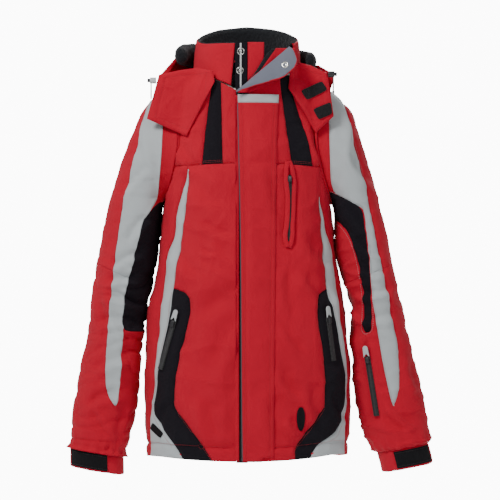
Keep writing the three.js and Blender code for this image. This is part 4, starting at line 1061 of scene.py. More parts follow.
FLAP_FREE = through([[0, -8.5], [118, -10], [403, -12], [700, -18]])
FLAP_SEWN = through([[0, 50], [300, 52], [600, 56], [700, 60]])
FLAP_LOW = 3
FLAP_HIGH = 699
FLAP_WALL = 1.6
flap_grid = sheet_grid(FLAP_FREE, FLAP_SEWN, FLAP_LOW, FLAP_HIGH, 176, 16, body_tree,
                       lambda u, v: mix(7.5, 1.0, min(1, u * 1.08) ** 2.5))
even_rows(flap_grid)
flap = weave(flap_grid)
points, = values_of(flap)
cut(flap, (points[:, 2] - 683) * 1.0)
points, = values_of(flap)
sides = np.minimum(points[:, 0] - FLAP_FREE(points[:, 2]), FLAP_SEWN(points[:, 2]) - points[:, 0])
ripple = 0.7 * crumple(points, 24, 11, (1, 1, 1.4)) + 0.8 * creases(points, 70, 12, (1, 1, 0.6))
out = -1.4 * np.exp(-np.abs(sides - 6) / 2.5) + 1.0 * np.exp(-sides / 2) + ripple
for corner, push in zip(flap.verts, out):
    corner.co.y -= push
centres, = middle_of_faces(flap)
names = np.where(centres[:, 2] > 683, "patch", "flap").astype(object)
flap_tree = BVHTree.FromBMesh(flap)
for name, (points, faces) in part_faces(flap, names).items():
    material, slot = (silver_cloth, "silver_grey") if name == "patch" else (red_cloth, "shell_red")
    piece = thicken(new_object(f"storm_{name}_cloth", points, faces, material), FLAP_WALL)
    settle(piece, "storm_flap", slot, *(["storm_flap"] if name == "flap" else []))
    declare_sheet(piece, points, faces)
flap.free()


# %% A round cord or piping along a line
def tube(name, line, radius, material, body_name, slot, sides=8, flat=1.0, steps=1):
    """A closed tube along points; flat below 1 makes it a tape whose thin way faces the front."""
    line = np.array(line, float)
    if steps > 1:
        share = np.linspace(0, len(line) - 1, (len(line) - 1) * steps + 1)
        curves = [through([[n, p[k]] for n, p in enumerate(line)]) for k in range(3)]
        line = np.stack([curve(share) for curve in curves], -1)
    ahead_of = np.gradient(line, axis=0)
    ahead_of /= np.linalg.norm(ahead_of, axis=1)[:, None]
    points, faces = [], []
    across = np.cross(ahead_of, [0, -1, 0])
    across /= np.maximum(np.linalg.norm(across, axis=1), 1e-6)[:, None]
    outward = np.cross(across, ahead_of)
    for j in range(len(line)):
        for i in range(sides):
            a = TURN * i / sides
            points.append(line[j] + radius * (math.cos(a) * across[j] + flat * math.sin(a) * outward[j]))
    for j in range(len(line) - 1):
        for i in range(sides):
            k = (i + 1) % sides
            faces.append([j * sides + i, j * sides + k, (j + 1) * sides + k, (j + 1) * sides + i])
    faces.append(list(range(sides))[::-1])
    faces.append([(len(line) - 1) * sides + i for i in range(sides)])
    made = new_object(name, np.array(points), faces, material)
    fix = bmesh.new()
    fix.from_mesh(made.data)
    bmesh.ops.recalc_face_normals(fix, faces=fix.faces)
    fix.to_mesh(made.data)
    fix.free()
    return settle(made, body_name, slot)


levels = np.linspace(FLAP_LOW + 1, 682, 140)
edge_line = [(FLAP_FREE(z) - 0.6, ahead(flap_tree, FLAP_FREE(z) + 0.8, z, -0.4), z) for z in levels]
tube("flap_piping", edge_line, 1.0, piping_cloth, "storm_flap", "flap_facing")

FACING_ROWS = 170
FACING_COLUMNS = 6
for side, sewn, inner in (("right", -24.0, -15.4), ("left", 4.5, -4.6)):
    strip = np.zeros((FACING_ROWS, FACING_COLUMNS, 3))
    for j, z in enumerate(np.linspace(4, 697, FACING_ROWS)):
        for i, u in enumerate(np.linspace(0, 1, FACING_COLUMNS)):
            x = mix(sewn, inner, u)
            y = mix(ahead(body_tree, sewn, z, -0.4), float(front_line(z)) - 1.5, min(1, u * 1.25))
            strip[j, i] = (x, y, z)
    even_rows(strip)
    if side == "left":
        strip = strip[:, ::-1]
    faces = []
    for j in range(FACING_ROWS - 1):
        for i in range(FACING_COLUMNS - 1):
            corner = j * FACING_COLUMNS + i
            faces.append([corner, corner + 1, corner + FACING_COLUMNS + 1, corner + FACING_COLUMNS])
    facing = thicken(new_object(f"{side}_zip_facing", strip.reshape(-1, 3), faces, red_cloth), 1.0)
    settle(facing, "root", "shell_red")

zip_front = frame["nodes"]["front_zip"]
zip_front.data.materials.clear()
zip_front.data.materials.append(zip_tape)
frame["nodes"]["zip_slider"].data.materials.clear()
frame["nodes"]["zip_slider"].data.materials.append(snap_metal)

# %% [markdown]
# ## Lining and padding
# Inside the shell is a layer of wadding and a smooth lining. They follow the same folds, a few
# millimetres in, and the hem is closed by a strip between shell and lining, as on the real garment.


# %% Inner layers
def armhole_clear(points):
    """Positive outside the two holes through which the arms pass."""
    x, y, z = points.T
    ring = np.sqrt(((y - ARM_Y) / 54) ** 2 + ((z - ARM_Z) / 97) ** 2) - 1
    return np.where(np.abs(x) > 70, ring, 1) * 50


def inner_layer(name, depth, thickness, material, slot, node_name, body_name="root"):
    points, angle = body_grid(96, 150, depth)
    layer = weave(points, angle=angle)
    points, angle = values_of(layer, "angle")
    cut(layer, armhole_clear(points))
    points, angle = values_of(layer, "angle")
    centres, = middle_of_faces(layer)
    holes = [f for f, clear in zip(layer.faces, armhole_clear(centres)) if clear < 0]
    bmesh.ops.delete(layer, geom=holes, context="FACES")
    layer.verts.index_update()
    points, angle = values_of(layer, "angle")
    quilt = 1.1 * np.cos(points[:, 2] / 18) + 0.8 * crumple(points, 40, 21)
    moved = drape(points, normals_of(layer), angle, quilt)
    moved[:, 2] += 2
    faces = [[v.index for v in f.verts] for f in layer.faces]
    layer.free()
    piece = thicken(new_object(name, moved, faces, material), thickness)
    settle(piece, body_name, slot, node_name)
    return piece, moved, faces


lining_piece, points, faces = inner_layer("lining", 13.5, 0.8, lining_cloth, "lining", "body_lining")
declare_sheet(lining_piece, points, faces)
padding_piece, points, faces = inner_layer("wadding", 7.5, 4, wadding_cloth, "wadding", "insulation")

share = round_angles(200)
ring_start = angle_at(ZIP_X + ZIP_TAPE_WIDTH / 2, 4.0)
ring_end = TURN + angle_at(ZIP_X - ZIP_TAPE_WIDTH / 2, 4.0)
ring = mix(ring_start, ring_end, share)
hem_rows = []
for depth, rise in ((1.4, 9.5), (2.0, 3.8), (4.4, 1.4), (9.0, 1.4), (13.0, 3.5), (14.0, 10.5)):
    row = body(0.0, ring, depth)
    outwards = body(0.0, ring, depth - 1) - row
    hem_rows.append(drape(row, outwards, ring, np.full(len(ring), -2.2)) + [0, 0, rise])
hem_grid = np.array(hem_rows)
hem_mesh = weave(hem_grid)
faces = [[v.index for v in f.verts] for f in hem_mesh.faces]
hem_mesh.free()
hem_piece = thicken(new_object("hem_facing", hem_grid.reshape(-1, 3), faces, red_cloth), 1.0, inward=False)
settle(hem_piece, "root", "shell_red")
declare_sheet(hem_piece, hem_grid.reshape(-1, 3), faces)
print("inner layers made")

# %% [markdown]
# ## Cuffs
# Each cuff is a short plain band below the gathers, and a black tab with hook tape wraps round its
# outer side. The tab is stiff, so it stands a little off the cuff and keeps sharp corners.


# %% Cuffs and tabs
def cuff_point(side, v, angle, depth):
    ox, oz, ix, iz, half, y = SLEEVES[side][-1]
    dx, dz = CUFF_DROP[side]
    v, angle = np.broadcast_arrays(np.asarray(v, float), np.asarray(angle, float))
    share = (abs(ox - ix) / 2 - depth - 3) / (abs(ox - ix) / 2) * np.cos(angle)
    x = (ox + ix) / 2 + (ox - ix) / 2 * share + dx * v
    z = (oz + iz) / 2 + (oz - iz) / 2 * share + dz * v
    return np.stack([x, y - (half - depth - 3) * np.sin(angle), z], -1)


def plain_grid(name, grid, material, wall, wrap=False, push=None, inward=True):
    """A finished sheet from a grid of points, moved along its normals by push(points)."""
    mesh = weave(grid, wrap=wrap)
    if push is not None:
        points, = values_of(mesh)
        normals = normals_of(mesh)
        for corner, amount, normal in zip(mesh.verts, push(points), normals):
            corner.co = corner.co + Vector(normal) * float(amount)
    points = np.array([v.co[:] for v in mesh.verts])
    faces = [[v.index for v in f.verts] for f in mesh.faces]
    mesh.free()
    piece = new_object(name, points, faces, material)
    if wall:
        thicken(piece, wall, inward)
    return piece, points, faces


for side in SLEEVES:
    sign = 1 if side == "left" else -1
    round_cuff = np.linspace(0, TURN, 120, endpoint=False) * -sign
    v = np.array([-0.28, -0.12, 0, 0.1, 0.3, 0.5, 0.7, 0.86, 0.94, 0.985, 1.0, 0.985, 0.9, 0.7, 0.4])
    depth = np.array([2.5, 1.2, 0.4, 0, 0, 0, 0, 0, 0.3, 1.0, 2.2, 3.4, 4, 4, 4])
    grid = np.stack([cuff_point(side, a, round_cuff, d) for a, d in zip(v, depth)])
    push = lambda p: 0.8 * crumple(p, 14, 31) + 0.5 * crumple(p, 34, 32)
    cuff, points, faces = plain_grid(f"{side}_cuff_band", grid, red_cloth, 1.0, wrap=True, push=push)
    settle(cuff, f"{side}_forearm", "shell_red", f"{side}_cuff")
    span = np.radians(np.linspace(24, 114, 40))
    tab_grid = np.stack([cuff_point(side, a, span, -1.6) for a in np.linspace(0.04, 0.92, 9)])
    tab, points, faces = plain_grid(f"{side}_hook_tab", tab_grid, tab_cloth, 2.2, inward=False)
    fix = tab.modifiers.new("soft", "BEVEL")
    fix.width, fix.segments, fix.limit_method = 0.0006, 2, "ANGLE"
    bake(tab)
    settle(tab, f"{side}_cuff_tab", "ribbed_black", f"{side}_cuff_tab")
    print("  ", side, "cuff")

# %% [markdown]
# The sleeve heads are set in with a thick seam. It is a soft red cord of cloth in the corner between
# sleeve and body, and it closes the armhole from every side.

# %% Armhole seams
ARMHOLE_SEAM = 2.6
for side, sign in (("right", -1), ("left", 1)):
    ring = armhole_ring(sign)
    tube(f"{side}_armhole_seam", [*ring, ring[0], ring[1]], ARMHOLE_SEAM, red_cloth, "root", "shell_red")

# %% [markdown]
# ## Collar
# The collar stands up all round: a red shell outside and black fleece inside, with a soft rolled top
# edge. In front, a red guard with a black snap band rises straight from the zip, and the wearer's
# left front of the collar and the top of the flap fold away from it in slanting layers.

# %% The collar's surface
collar_rise = through([[0, 40], [45, 40], [80, 34], [110, 22], [150, 6], [180, 0]])


def collar(v, angle, depth=0.0):
    """Points of the collar: v runs from the neck seam to the top edge."""
    v, angle = np.broadcast_arrays(np.asarray(v, float), np.asarray(angle, float))
    foot = body(neck_seam(angle), angle, depth)
    x, y = outline(angle, COLLAR_HALF_WIDTH - depth, COLLAR_FRONT + depth, COLLAR_BACK - depth,
                   COLLAR_ROUNDNESS)
    top = np.stack([x, y, BODY_LENGTH + COLLAR_HEIGHT - collar_rise(round_from_front(angle))], -1)
    return mix(foot, top, v[..., None])


def collar_angle(x):
    return np.sign(x) * np.arcsin((np.abs(x) / COLLAR_HALF_WIDTH) ** (COLLAR_ROUNDNESS / 2))


def collar_front(x, z):
    """The y of the collar's front face in front view."""
    angle = collar_angle(np.clip(x, -COLLAR_HALF_WIDTH + 1, COLLAR_HALF_WIDTH - 1))
    foot, top = collar(0, angle), collar(1, angle)
    v = np.clip((z - foot[..., 2]) / (top[..., 2] - foot[..., 2]), 0, 1)
    return mix(foot[..., 1], top[..., 1], v)


COLLAR_OPEN = math.radians(62)
BAND_LEFT = -23.5
BAND_RIGHT = 0
FLEECE_WALL = 4
collar_end = TURN + collar_angle(BAND_LEFT)
round_collar = np.linspace(COLLAR_OPEN, collar_end, 150)


def collar_push(points):
    """The collar's soft unevenness."""
    return 1.0 * crumple(points, 40, 41, (1, 1, 0.7)) + 0.8 * creases(points, 46, 42, (1.6, 1, 0.5))


grid = np.stack([collar(v, round_collar, d) for v, d in
                 zip([-0.02, 0.02, *np.linspace(0.08, 0.93, 20), 0.97, 0.99, 1.0],
                     [1.5, 0, *[0] * 20, 0.4, 1.2, 2.6])])
piece, points, faces = plain_grid("collar_outside", grid[:, ::-1], red_cloth, 1.2, push=collar_push)
settle(piece, "root", "shell_red", "collar_shell")
inside_depth = 3.6
grid = np.stack([collar(v, round_collar, d) for v, d in
                 zip([1.0, 0.985, *np.linspace(0.94, 0.06, 22), 0.01, -0.02],
                     [1.6, 3.0, *[inside_depth + FLEECE_WALL] * 22, 7.0, 6.0])])
fuzz = lambda p: 0.8 * crumple(p, 9, 43) + 0.9 * crumple(p, 30, 44)
piece, points, faces = plain_grid("collar_fleece", grid[:, ::-1], black_fleece, 2.0, push=fuzz)
settle(piece, "root", "fleece", "collar_lining")


# %% Guard, snap band and the slanting layers in front
def front_patch(name, left, right, low, high, rows, columns, off, material, wall, body_name, slot,
                crumpling=0.6):
    """A layer in front of the collar between two side curves x(z), standing off by off(u, v)."""
    v = np.linspace(0, 1, rows)[:, None]
    u = np.linspace(0, 1, columns)[None, :]
    z = mix(low, high, v) + 0 * u
    x = mix(left(z), right(z), u)
    y = np.minimum(collar_front(x, z), -90 + 0.1 * (z - 700)) - off(u, v)
    grid = np.stack([x, y, z], -1)
    wrinkle = lambda p: crumpling * (crumple(p, 20, 51) + creases(p, 30, 52, (1, 1, 0.6)))
    piece, points, faces = plain_grid(name, grid, material, wall, push=wrinkle)
    settle(piece, body_name, slot)
    return piece, points, faces


def line_x(*pairs):
    """A side curve from [z, x] pairs."""
    return through(sorted([list(p) for p in pairs]))


band_left = line_x([700, BAND_LEFT + 3], [730, BAND_LEFT], [800, BAND_LEFT])
band_right = line_x([700, BAND_RIGHT], [800, BAND_RIGHT])
guard_right = line_x([700, 8], [720, 20], [745, 31], [800, 32])
guard, points, faces = front_patch("collar_guard_cloth", band_right, guard_right, 698, 799, 34, 12,
                                   lambda u, v: 0.6 + 0 * u, red_cloth, 1.6, "root", "shell_red")
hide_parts("collar_guard")
declare_sheet(guard, points, faces)
band, points, faces = front_patch("snap_band", band_left, band_right, 700, 798.5, 40, 10,
                                  lambda u, v: 1.8 + 0 * u + 0 * v, ribbed_cloth, 1.4, "root",
                                  "ribbed_black", 0.25)
declare_sheet(band, points, faces)
rows = np.linspace(703, 797, 16)
line = [(-12.6, float(collar_front(np.array(-12.6), np.array(z))) - 3.4, z) for z in rows]
line = [(x, min(y, -93.4 + 0.1 * (z - 700)), z) for x, y, z in line]
tube("band_piping", line, 1.7, silver_piping, "root", "silver_grey", flat=0.45)

strip_left = line_x([700, -21], [722, -1], [734, 10], [772, 34], [787, 47])
strip_right = line_x([700, -20], [732, 10], [745, 26], [762, 38], [787, 56])
strip, points, faces = front_patch("lapel_facing", strip_left, strip_right, 701, 786, 44, 8,
                                   lambda u, v: 5.5 + 1.2 * np.sin(np.pi * u) + 0 * v, black_fleece, 2.4,
                                   "root", "fleece", 0.5)
declare_sheet(strip, points, faces)
lapel_left = line_x([700, -20], [732, 9], [745, 25], [762, 37], [788, 55])
lapel_right = line_x([700, 0], [728, 60], [753, 84], [778, 89], [790, 93])
lapel, points, faces = front_patch("collar_lapel_cloth", lapel_left, lapel_right, 702, 788, 48, 22,
                                   lambda u, v: 6.2 - 3.4 * u * v + 1.0 * np.sin(np.pi * v), red_cloth, 2.4,
                                   "root", "shell_red", 0.8)
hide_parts("collar_lapel")
declare_sheet(lapel, points, faces)

# %% [markdown]
# The top of the storm flap is folded open and shows its slate lining. It swings on its own fold line,
# so it is a separate plate that lies in the plane of its measured part, with soft edges and its snap
# socket near the tip.

# %% The folded top of the flap
joint = next(j for j in frame["joints"] if j["name"] == "collar_flap_hinge")
fold_foot = np.array(joint["pos_m"]) * 1000 - OFFSET
fold_axis = -np.array(joint["axis"], float)
fold_axis = fold_axis / np.linalg.norm(fold_axis)
fold_axis = fold_axis if fold_axis[2] > 0 else -fold_axis
socket_low, socket_high = (np.array(corner) * 1000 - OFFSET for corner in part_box("snap_socket"))
socket_middle = (socket_low + socket_high) / 2
to_socket = socket_middle - fold_foot
fold_down = to_socket - fold_axis * (to_socket @ fold_axis)
fold_down /= np.linalg.norm(fold_down)
fold_out = np.cross(fold_down, fold_axis)
fold_out = fold_out if fold_out[1] < 0 else -fold_out
flap_tip = through([[-3, 1.0], [0, 2.0], [28, 13], [58, 28], [88, 40], [108, 40], [124, 31], [131, 14],
                    [132.5, 6]])
along = np.concatenate([[-2.5], np.linspace(0, 126, 50), [129, 131, 132.3]])
grid = []
for down in np.linspace(0, 1, 16):
    reach = flap_tip(along)
    curl = 1.6 * np.sin(np.pi * down) - 0.4
    on_fold = fold_foot + fold_axis * along[:, None] + fold_down * (reach * down)[:, None]
    grid.append(on_fold + fold_out * (3.6 + curl))
soft = lambda p: 0.5 * crumple(p, 18, 61) + 0.7 * creases(p, 34, 62)
piece, points, faces = plain_grid("flap_top", np.array(grid), slate_cloth, 2.2, push=soft, inward=False)
settle(piece, "collar_flap", "flap_facing", "collar_flap")
declare_sheet(piece, points, faces)
rim = [fold_foot + fold_axis * a + fold_down * flap_tip(a) + fold_out * 3.0 for a in along[1:]]
tube("flap_top_edge", rim, 1.3, red_cloth, "collar_flap", "shell_red")

# %% [markdown]
# ## Snaps
# A snap's stud is a turned cap with a rolled rim round a dark cup, whose dark colour is painted shade in the
# groove, and a bright ball in the middle.
# Turning a profile round an axis makes it in one step.


# %% Turned pieces
def turned(name, profile, centre, out, material, body_name, slot, segments=32):
    """Turns [radius, height] millimetres round an axis that points out from centre (in metres)."""
    points, faces = [], []
    for r, h in profile:
        for i in range(segments):
            a = TURN * i / segments
            points.append((r * math.cos(a), r * math.sin(a), h))
    for j in range(len(profile) - 1):
        for i in range(segments):
            k = (i + 1) % segments
            row, above = j * segments, (j + 1) * segments
            faces.append([row + i, row + k, above + k, above + i])
    faces.append(list(range(segments))[::-1])
    faces.append([(len(profile) - 1) * segments + i for i in range(segments)])
    turn = Vector((0, 0, 1)).rotation_difference(Vector(out)).to_matrix().to_4x4()
    mesh = bpy.data.meshes.new(name)
    mesh.from_pydata([[c / 1000 for c in p] for p in points], [], faces)
    mesh.transform(Matrix.Translation(Vector(centre)) @ turn)
    mesh.polygons.foreach_set("use_smooth", [True] * len(mesh.polygons))
    mesh.materials.append(material)
    made = bpy.data.objects.new(name, mesh)
    bpy.context.collection.objects.link(made)
    fix = bmesh.new()
    fix.from_mesh(mesh)
    bmesh.ops.recalc_face_normals(fix, faces=fix.faces)
    fix.to_mesh(mesh)
    fix.free()
    return settle(made, body_name, slot)


STUD_RIM = [[0.2, 0], [6.9, 0], [7.2, 0.4], [7.3, 1.2], [7.0, 2.0], [6.4, 2.5], [5.8, 2.4], [5.3, 1.8],
            [5.1, 1.0], [4.9, 0.6], [0.2, 0.5]]
# a thin disc in the stud's groove, coloured dark as painted shade
STUD_GROOVE_SHADE = [[0.2, 0.45], [5.0, 0.55], [4.9, 0.9], [3.3, 0.8], [0.2, 0.75]]
STUD_BALL = [[0.1, 0.6], [2.5, 0.6], [2.3, 2.2], [2.7, 3.0], [2.6, 3.7], [1.9, 4.3], [0.9, 4.5], [0.1, 4.5]]
SOCKET_RIM = [[3.0, 0], [6.9, 0], [7.1, 0.5], [6.9, 1.4], [6.0, 2.2], [5.0, 2.4], [4.2, 2.1], [3.4, 1.2]]
for name in ("lower_snap_stud", "upper_snap_stud"):
    low, high = (np.array(c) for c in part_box(name))
    centre = (low + high) / 2
    centre[1] = low[1] + 0.0044
    out = (0, -1, -0.08)
    rim = turned(f"{name}_rim", STUD_RIM, centre, out, snap_metal, "root", "snap_metal")
    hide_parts(name)
    # painted shade: a dark disc in the groove round the ball
    turned(f"{name}_cup", STUD_GROOVE_SHADE, centre, out, painted_shade_metal, "root", "snap_metal")
    turned(f"{name}_ball", STUD_BALL, centre, out, snap_metal, "root", "snap_metal")
socket_at = place(fold_foot + to_socket - fold_out * (to_socket @ fold_out) + fold_out * 4.6)
rim = turned("snap_socket_rim", SOCKET_RIM, socket_at, fold_out, snap_metal, "collar_flap", "snap_metal")
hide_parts("snap_socket")
# painted shade: a dark disc in the socket's hollow
turned("snap_socket_cup", [[0.2, 0.2], [3.4, 0.3], [3.3, 0.8], [0.2, 0.8]], socket_at, fold_out, painted_shade_metal,
       "collar_flap", "snap_metal")
print("collar made")

# %% [markdown]
# ## Hood
# The hood hangs open behind the collar. From the front only its thick fleece edge and its two chin
# flaps show; behind, its padded shell hangs down the back in soft folds. The shell is a grid bent round
# the shoulders, and the fleece edge is a fat roll with a lumpy surface.

# %% The fleece roll and the shell behind
HOOD_CLEARANCE = 6
ROLL_RADIUS = 18
ROLL_RISE = 26
ROLL_HEIGHT = 776
ROLL_START = math.radians(78)
HOOD_HALF_WIDTH = 168
HOOD_MIDDLE = (COLLAR_BACK + COLLAR_FRONT) / 2 + 4
roll_wide = COLLAR_HALF_WIDTH + HOOD_CLEARANCE + ROLL_RADIUS
roll_deep = (COLLAR_BACK - COLLAR_FRONT) / 2 + HOOD_CLEARANCE + ROLL_RADIUS + 4


def roll_point(u, a):
    round_back = mix(ROLL_START, TURN - ROLL_START, u)
    swelling = np.sqrt(np.sin(math.pi * mix(0.05, 0.95, u)))
    bulge = u ** 6  # the roll is fatter where it ends on the wearer's right
    radius = np.cos(a) * ROLL_RADIUS * swelling * (1 + 0.4 * bulge) + 7 * bulge
    rise = np.sin(a) * ROLL_RISE * swelling * (1 + 0.2 * bulge)
    z = ROLL_HEIGHT - 8 * np.sin(round_back) - 7 * bulge + rise
    return np.stack([(roll_wide + radius) * np.sin(round_back),
                     HOOD_MIDDLE - (roll_deep + radius) * np.cos(round_back), z], -1)


u, a = np.linspace(0, 1, 170)[:, None], np.linspace(0, TURN, 44, endpoint=False)[None, :]
grid = roll_point(u, a)
caps = []
for end in (grid[:1], grid[-1:]):
    middle = end.mean(1, keepdims=True)
    caps.append(middle + 0.04 * (end - middle))
grid = np.concatenate([caps[0], grid, caps[1]])
lumps = lambda p: -1.0 + 1.8 * crumple(p, 30, 71) + 0.9 * crumple(p, 9, 72) + 0.5 * crumple(p, 4.5, 73)
roll, points, faces = plain_grid("hood_fleece", grid, black_fleece, 0, wrap=True, push=lumps)


def outwards(made):
    """Turns a closed piece's faces to point out."""
    fix = bmesh.new()
    fix.from_mesh(made.data)
    bmesh.ops.holes_fill(fix, edges=[e for e in fix.edges if e.is_boundary])
    bmesh.ops.recalc_face_normals(fix, faces=fix.faces)
    fix.to_mesh(made.data)
    fix.free()
    made.data.polygons.foreach_set("use_smooth", [True] * len(made.data.polygons))
    return made


settle(outwards(roll), "hood", "fleece", "hood_lining")


def head_rest(z, sign):
    t = np.minimum(1, np.abs(z - ARM_Z) / 111)
    return ARM_Y + sign * 72 * np.sqrt(1 - t * t)


def back_rest(x, z):
    """The y behind which the hood hangs clear of the back and the sleeve heads."""
    wide = half_width(z)
    share = np.minimum(np.abs(x) / wide, 1)
    middle = (front_line(z) + back_line(z)) / 2
    y = middle + (back_line(z) - front_line(z)) / 2 * (1 - share ** roundness(z)) ** (1 / roundness(z))
    y = np.where((np.abs(x) < wide) & (z <= BODY_LENGTH), y, -40)
    return np.maximum(y, head_rest(z, 1)) + 4


def hood_back(u, v, depth):
    wide = COLLAR_HALF_WIDTH + HOOD_CLEARANCE + 2 * ROLL_RADIUS - 2
    deep = (COLLAR_BACK - COLLAR_FRONT) / 2 + HOOD_CLEARANCE + 2 * ROLL_RADIUS + 2
    angle = mix(ROLL_START, TURN - ROLL_START, u)
    hang = np.maximum(0, -np.cos(angle)) ** 1.3
    low = 738 - (738 - 566) * hang
    top = (wide * np.sin(angle), HOOD_MIDDLE - deep * np.cos(angle), ROLL_HEIGHT - 12 - 8 * np.sin(angle))
    foot = (HOOD_HALF_WIDTH * np.sin(angle) * (1 - 0.12 * hang), mix(6, back_line(low) + 14, hang), low)
    x, z = mix(top[0], foot[0], v), mix(top[2], foot[2], v)
    y = np.maximum(mix(top[1], foot[1], v) + 26 * hang * np.sin(math.pi * v), back_rest(x, z))
    tilt = np.sqrt(1 - hang * hang) * 0.7
    return np.stack([x + 0 * y, y - depth * np.maximum(hang, 0.3), z - depth * tilt], -1)


u = np.linspace(0, 1, 150)[None, :]
v = np.concatenate([np.linspace(0, 0.97, 56), [0.985, 0.995, 1.0]])[:, None]
rows = hood_back(u, v, -7.0)
under = hood_back(u, v[::-1], -1.0)
grid = np.concatenate([rows, under])
HOOD_FOLDS = [(-90, 740, -40, 620, 16, 3.4), (80, 740, 50, 610, 16, 3.4), (-30, 760, 10, 640, 18, 2.6),
              (-110, 700, -10, 590, 14, 2.4), (110, 690, 20, 600, 14, 2.4)]


def hood_push(points):
    x, y, z = points.T
    edge = np.clip((780 - z) / 60, 0, 1)
    soft_folds = fold_depth(x, z, HOOD_FOLDS) + 2.6 * crumple(points, 60, 81)
    return edge * (soft_folds + 1.6 * creases(points, 50, 82))


shell_piece, points, faces = plain_grid("hood_back", grid, red_cloth, 0, push=hood_push)
settle(outwards(shell_piece), "hood", "shell_red", "hood_shell")


# %% The chin flaps of the hood
def flap_rest(x, z):
    """The y at which a hood flap lies on whatever is under it."""
    y = np.full(np.shape(x), -66.0)
    wide = half_width(z)
    y = np.where((np.abs(x) < wide) & (z <= BODY_LENGTH), np.minimum(y, front_at(x, z)), y)
    y = np.where(np.abs(x) > 130, np.minimum(y, head_rest(z, -1)), y)
    share = np.minimum(np.abs(x) / 110, 1)
    angle = np.arcsin(share ** (COLLAR_ROUNDNESS / 2))
    ring = outline(angle, 110, COLLAR_FRONT - 12, COLLAR_BACK, COLLAR_ROUNDNESS)[1]
    y = np.where((np.abs(x) < 110) & (z > FRONT_NECK + 20), np.minimum(y, ring), y)
    return y - 2.2


FLAP_SIDES = {  # the upper edge and the lower edge of each flap, left to right in front view
    "right": ([(-169, 738), (-129, 747), (-97, 751), (-66, 744)],
              [(-192, 654), (-154, 637), (-116, 620), (-62, 724)]),
    "left": ([(82, 751), (100, 761), (121, 756), (153, 741)],
             [(78, 711), (107, 668), (130, 626), (165, 659)]),
}


def along_line(corners, u):
    corners = np.array(corners, float)
    at = np.linspace(0, 1, len(corners))
    return np.interp(u, at, corners[:, 0]), np.interp(u, at, corners[:, 1])


def smooth_rows(y, passes):
    """Evens a grid of distances, keeping its edges."""
    for _ in range(passes):
        y[1:-1, :] = y[1:-1, :] / 2 + (y[:-2, :] + y[2:, :]) / 4
        y[:, 1:-1] = y[:, 1:-1] / 2 + (y[:, :-2] + y[:, 2:]) / 4
    return y


flap_fronts = {}
for side, (upper, lower) in FLAP_SIDES.items():
    u = np.linspace(0, 1, 64)
    v = np.linspace(0, 1, 60)[:, None]
    ux, uz = along_line(upper, u)
    lx, lz = along_line(lower, u)
    x, z = mix(ux, lx, v), mix(uz, lz, v)
    rest = smooth_rows(flap_rest(x, z), 12)
    edge_u = np.minimum(u, 1 - u)[None, :] * 80
    edge_v = np.minimum(v, 1 - v) * 110
    edge = np.minimum(edge_u, edge_v)
    round_edge = np.sqrt(np.clip(1 - (1 - np.clip(edge / 9, 0, 1)) ** 2, 0, 1))
    fat = 5.2 * round_edge - 0.9 * np.exp(-((edge - 11) / 2) ** 2)
    lump = 1.5 * crumple(np.stack([x, rest, z], -1).reshape(-1, 3), 34, 91).reshape(x.shape)
    lump += 1.2 * creases(np.stack([x, rest, z], -1).reshape(-1, 3), 44, 92).reshape(x.shape)
    middle = rest - 3.6
    front = np.stack([x, middle - fat * 0.75 - lump * np.clip(edge / 12, 0, 1), z], -1)
    back = np.stack([x, middle + fat * 0.55, z], -1)
    piece, points, faces = plain_grid(f"{side}_chin_flap", front, red_cloth, 0)
    count = len(points)
    whole = np.concatenate([points, back.reshape(-1, 3)])
    rows_n, columns_n = x.shape
    back_faces = [[n + count for n in face[::-1]] for face in faces]
    rim_ring = [(0, i) for i in range(columns_n)] + [(j, columns_n - 1) for j in range(1, rows_n)]
    rim_ring += [(rows_n - 1, i) for i in range(columns_n - 2, -1, -1)]
    rim_ring += [(j, 0) for j in range(rows_n - 2, 0, -1)]
    ids = [j * columns_n + i for j, i in rim_ring]
    sides_of = [[p, q, q + count, p + count] for p, q in zip(ids, ids[1:] + ids[:1])]
    bpy.data.objects.remove(piece)
    piece = new_object(f"{side}_chin_flap", whole, faces + back_faces + sides_of, red_cloth)
    settle(outwards(piece), "hood", "shell_red", f"{side}_hood_flap")
    flap_fronts[side] = BVHTree.FromPolygons([tuple(p) for p in points], faces)


# %% Patches of hook tape
def patch_on(name, tree, corners, lift, material, wall, body_name, slot, oval=0.0, fallback=-40):
    """A patch with rounded corners that follows a finished surface in front view."""
    a, b, c, d = (np.array(corner, float) for corner in corners)
    points = np.zeros((16, 22, 3))
    for j, v in enumerate(np.linspace(0, 1, 16)):
        for i, u in enumerate(np.linspace(0, 1, 22)):
            su, sv = 2 * u - 1, 2 * v - 1
            pull = 1 - 0.07 * (su ** 8) * (sv ** 8) - 0.03 * (su * sv) ** 4
            pull_u = pull * mix(1, math.sqrt(1 - sv * sv / 2), oval)
            pull_v = pull * mix(1, math.sqrt(1 - su * su / 2), oval)
            pu, pv = 0.5 + su * pull_u / 2, 0.5 + sv * pull_v / 2
            x, z = mix(mix(a, b, pu), mix(d, c, pu), pv)
            points[j, i] = (x, ahead(tree, x, z, lift, fallback), z)
    points[:, :, 1] = smooth_rows(points[:, :, 1], 2)
    piece, flat_points, faces = plain_grid(name, points, material, wall, inward=False)
    settle(piece, body_name, slot)
    declare_sheet(piece, flat_points, faces)
    return piece


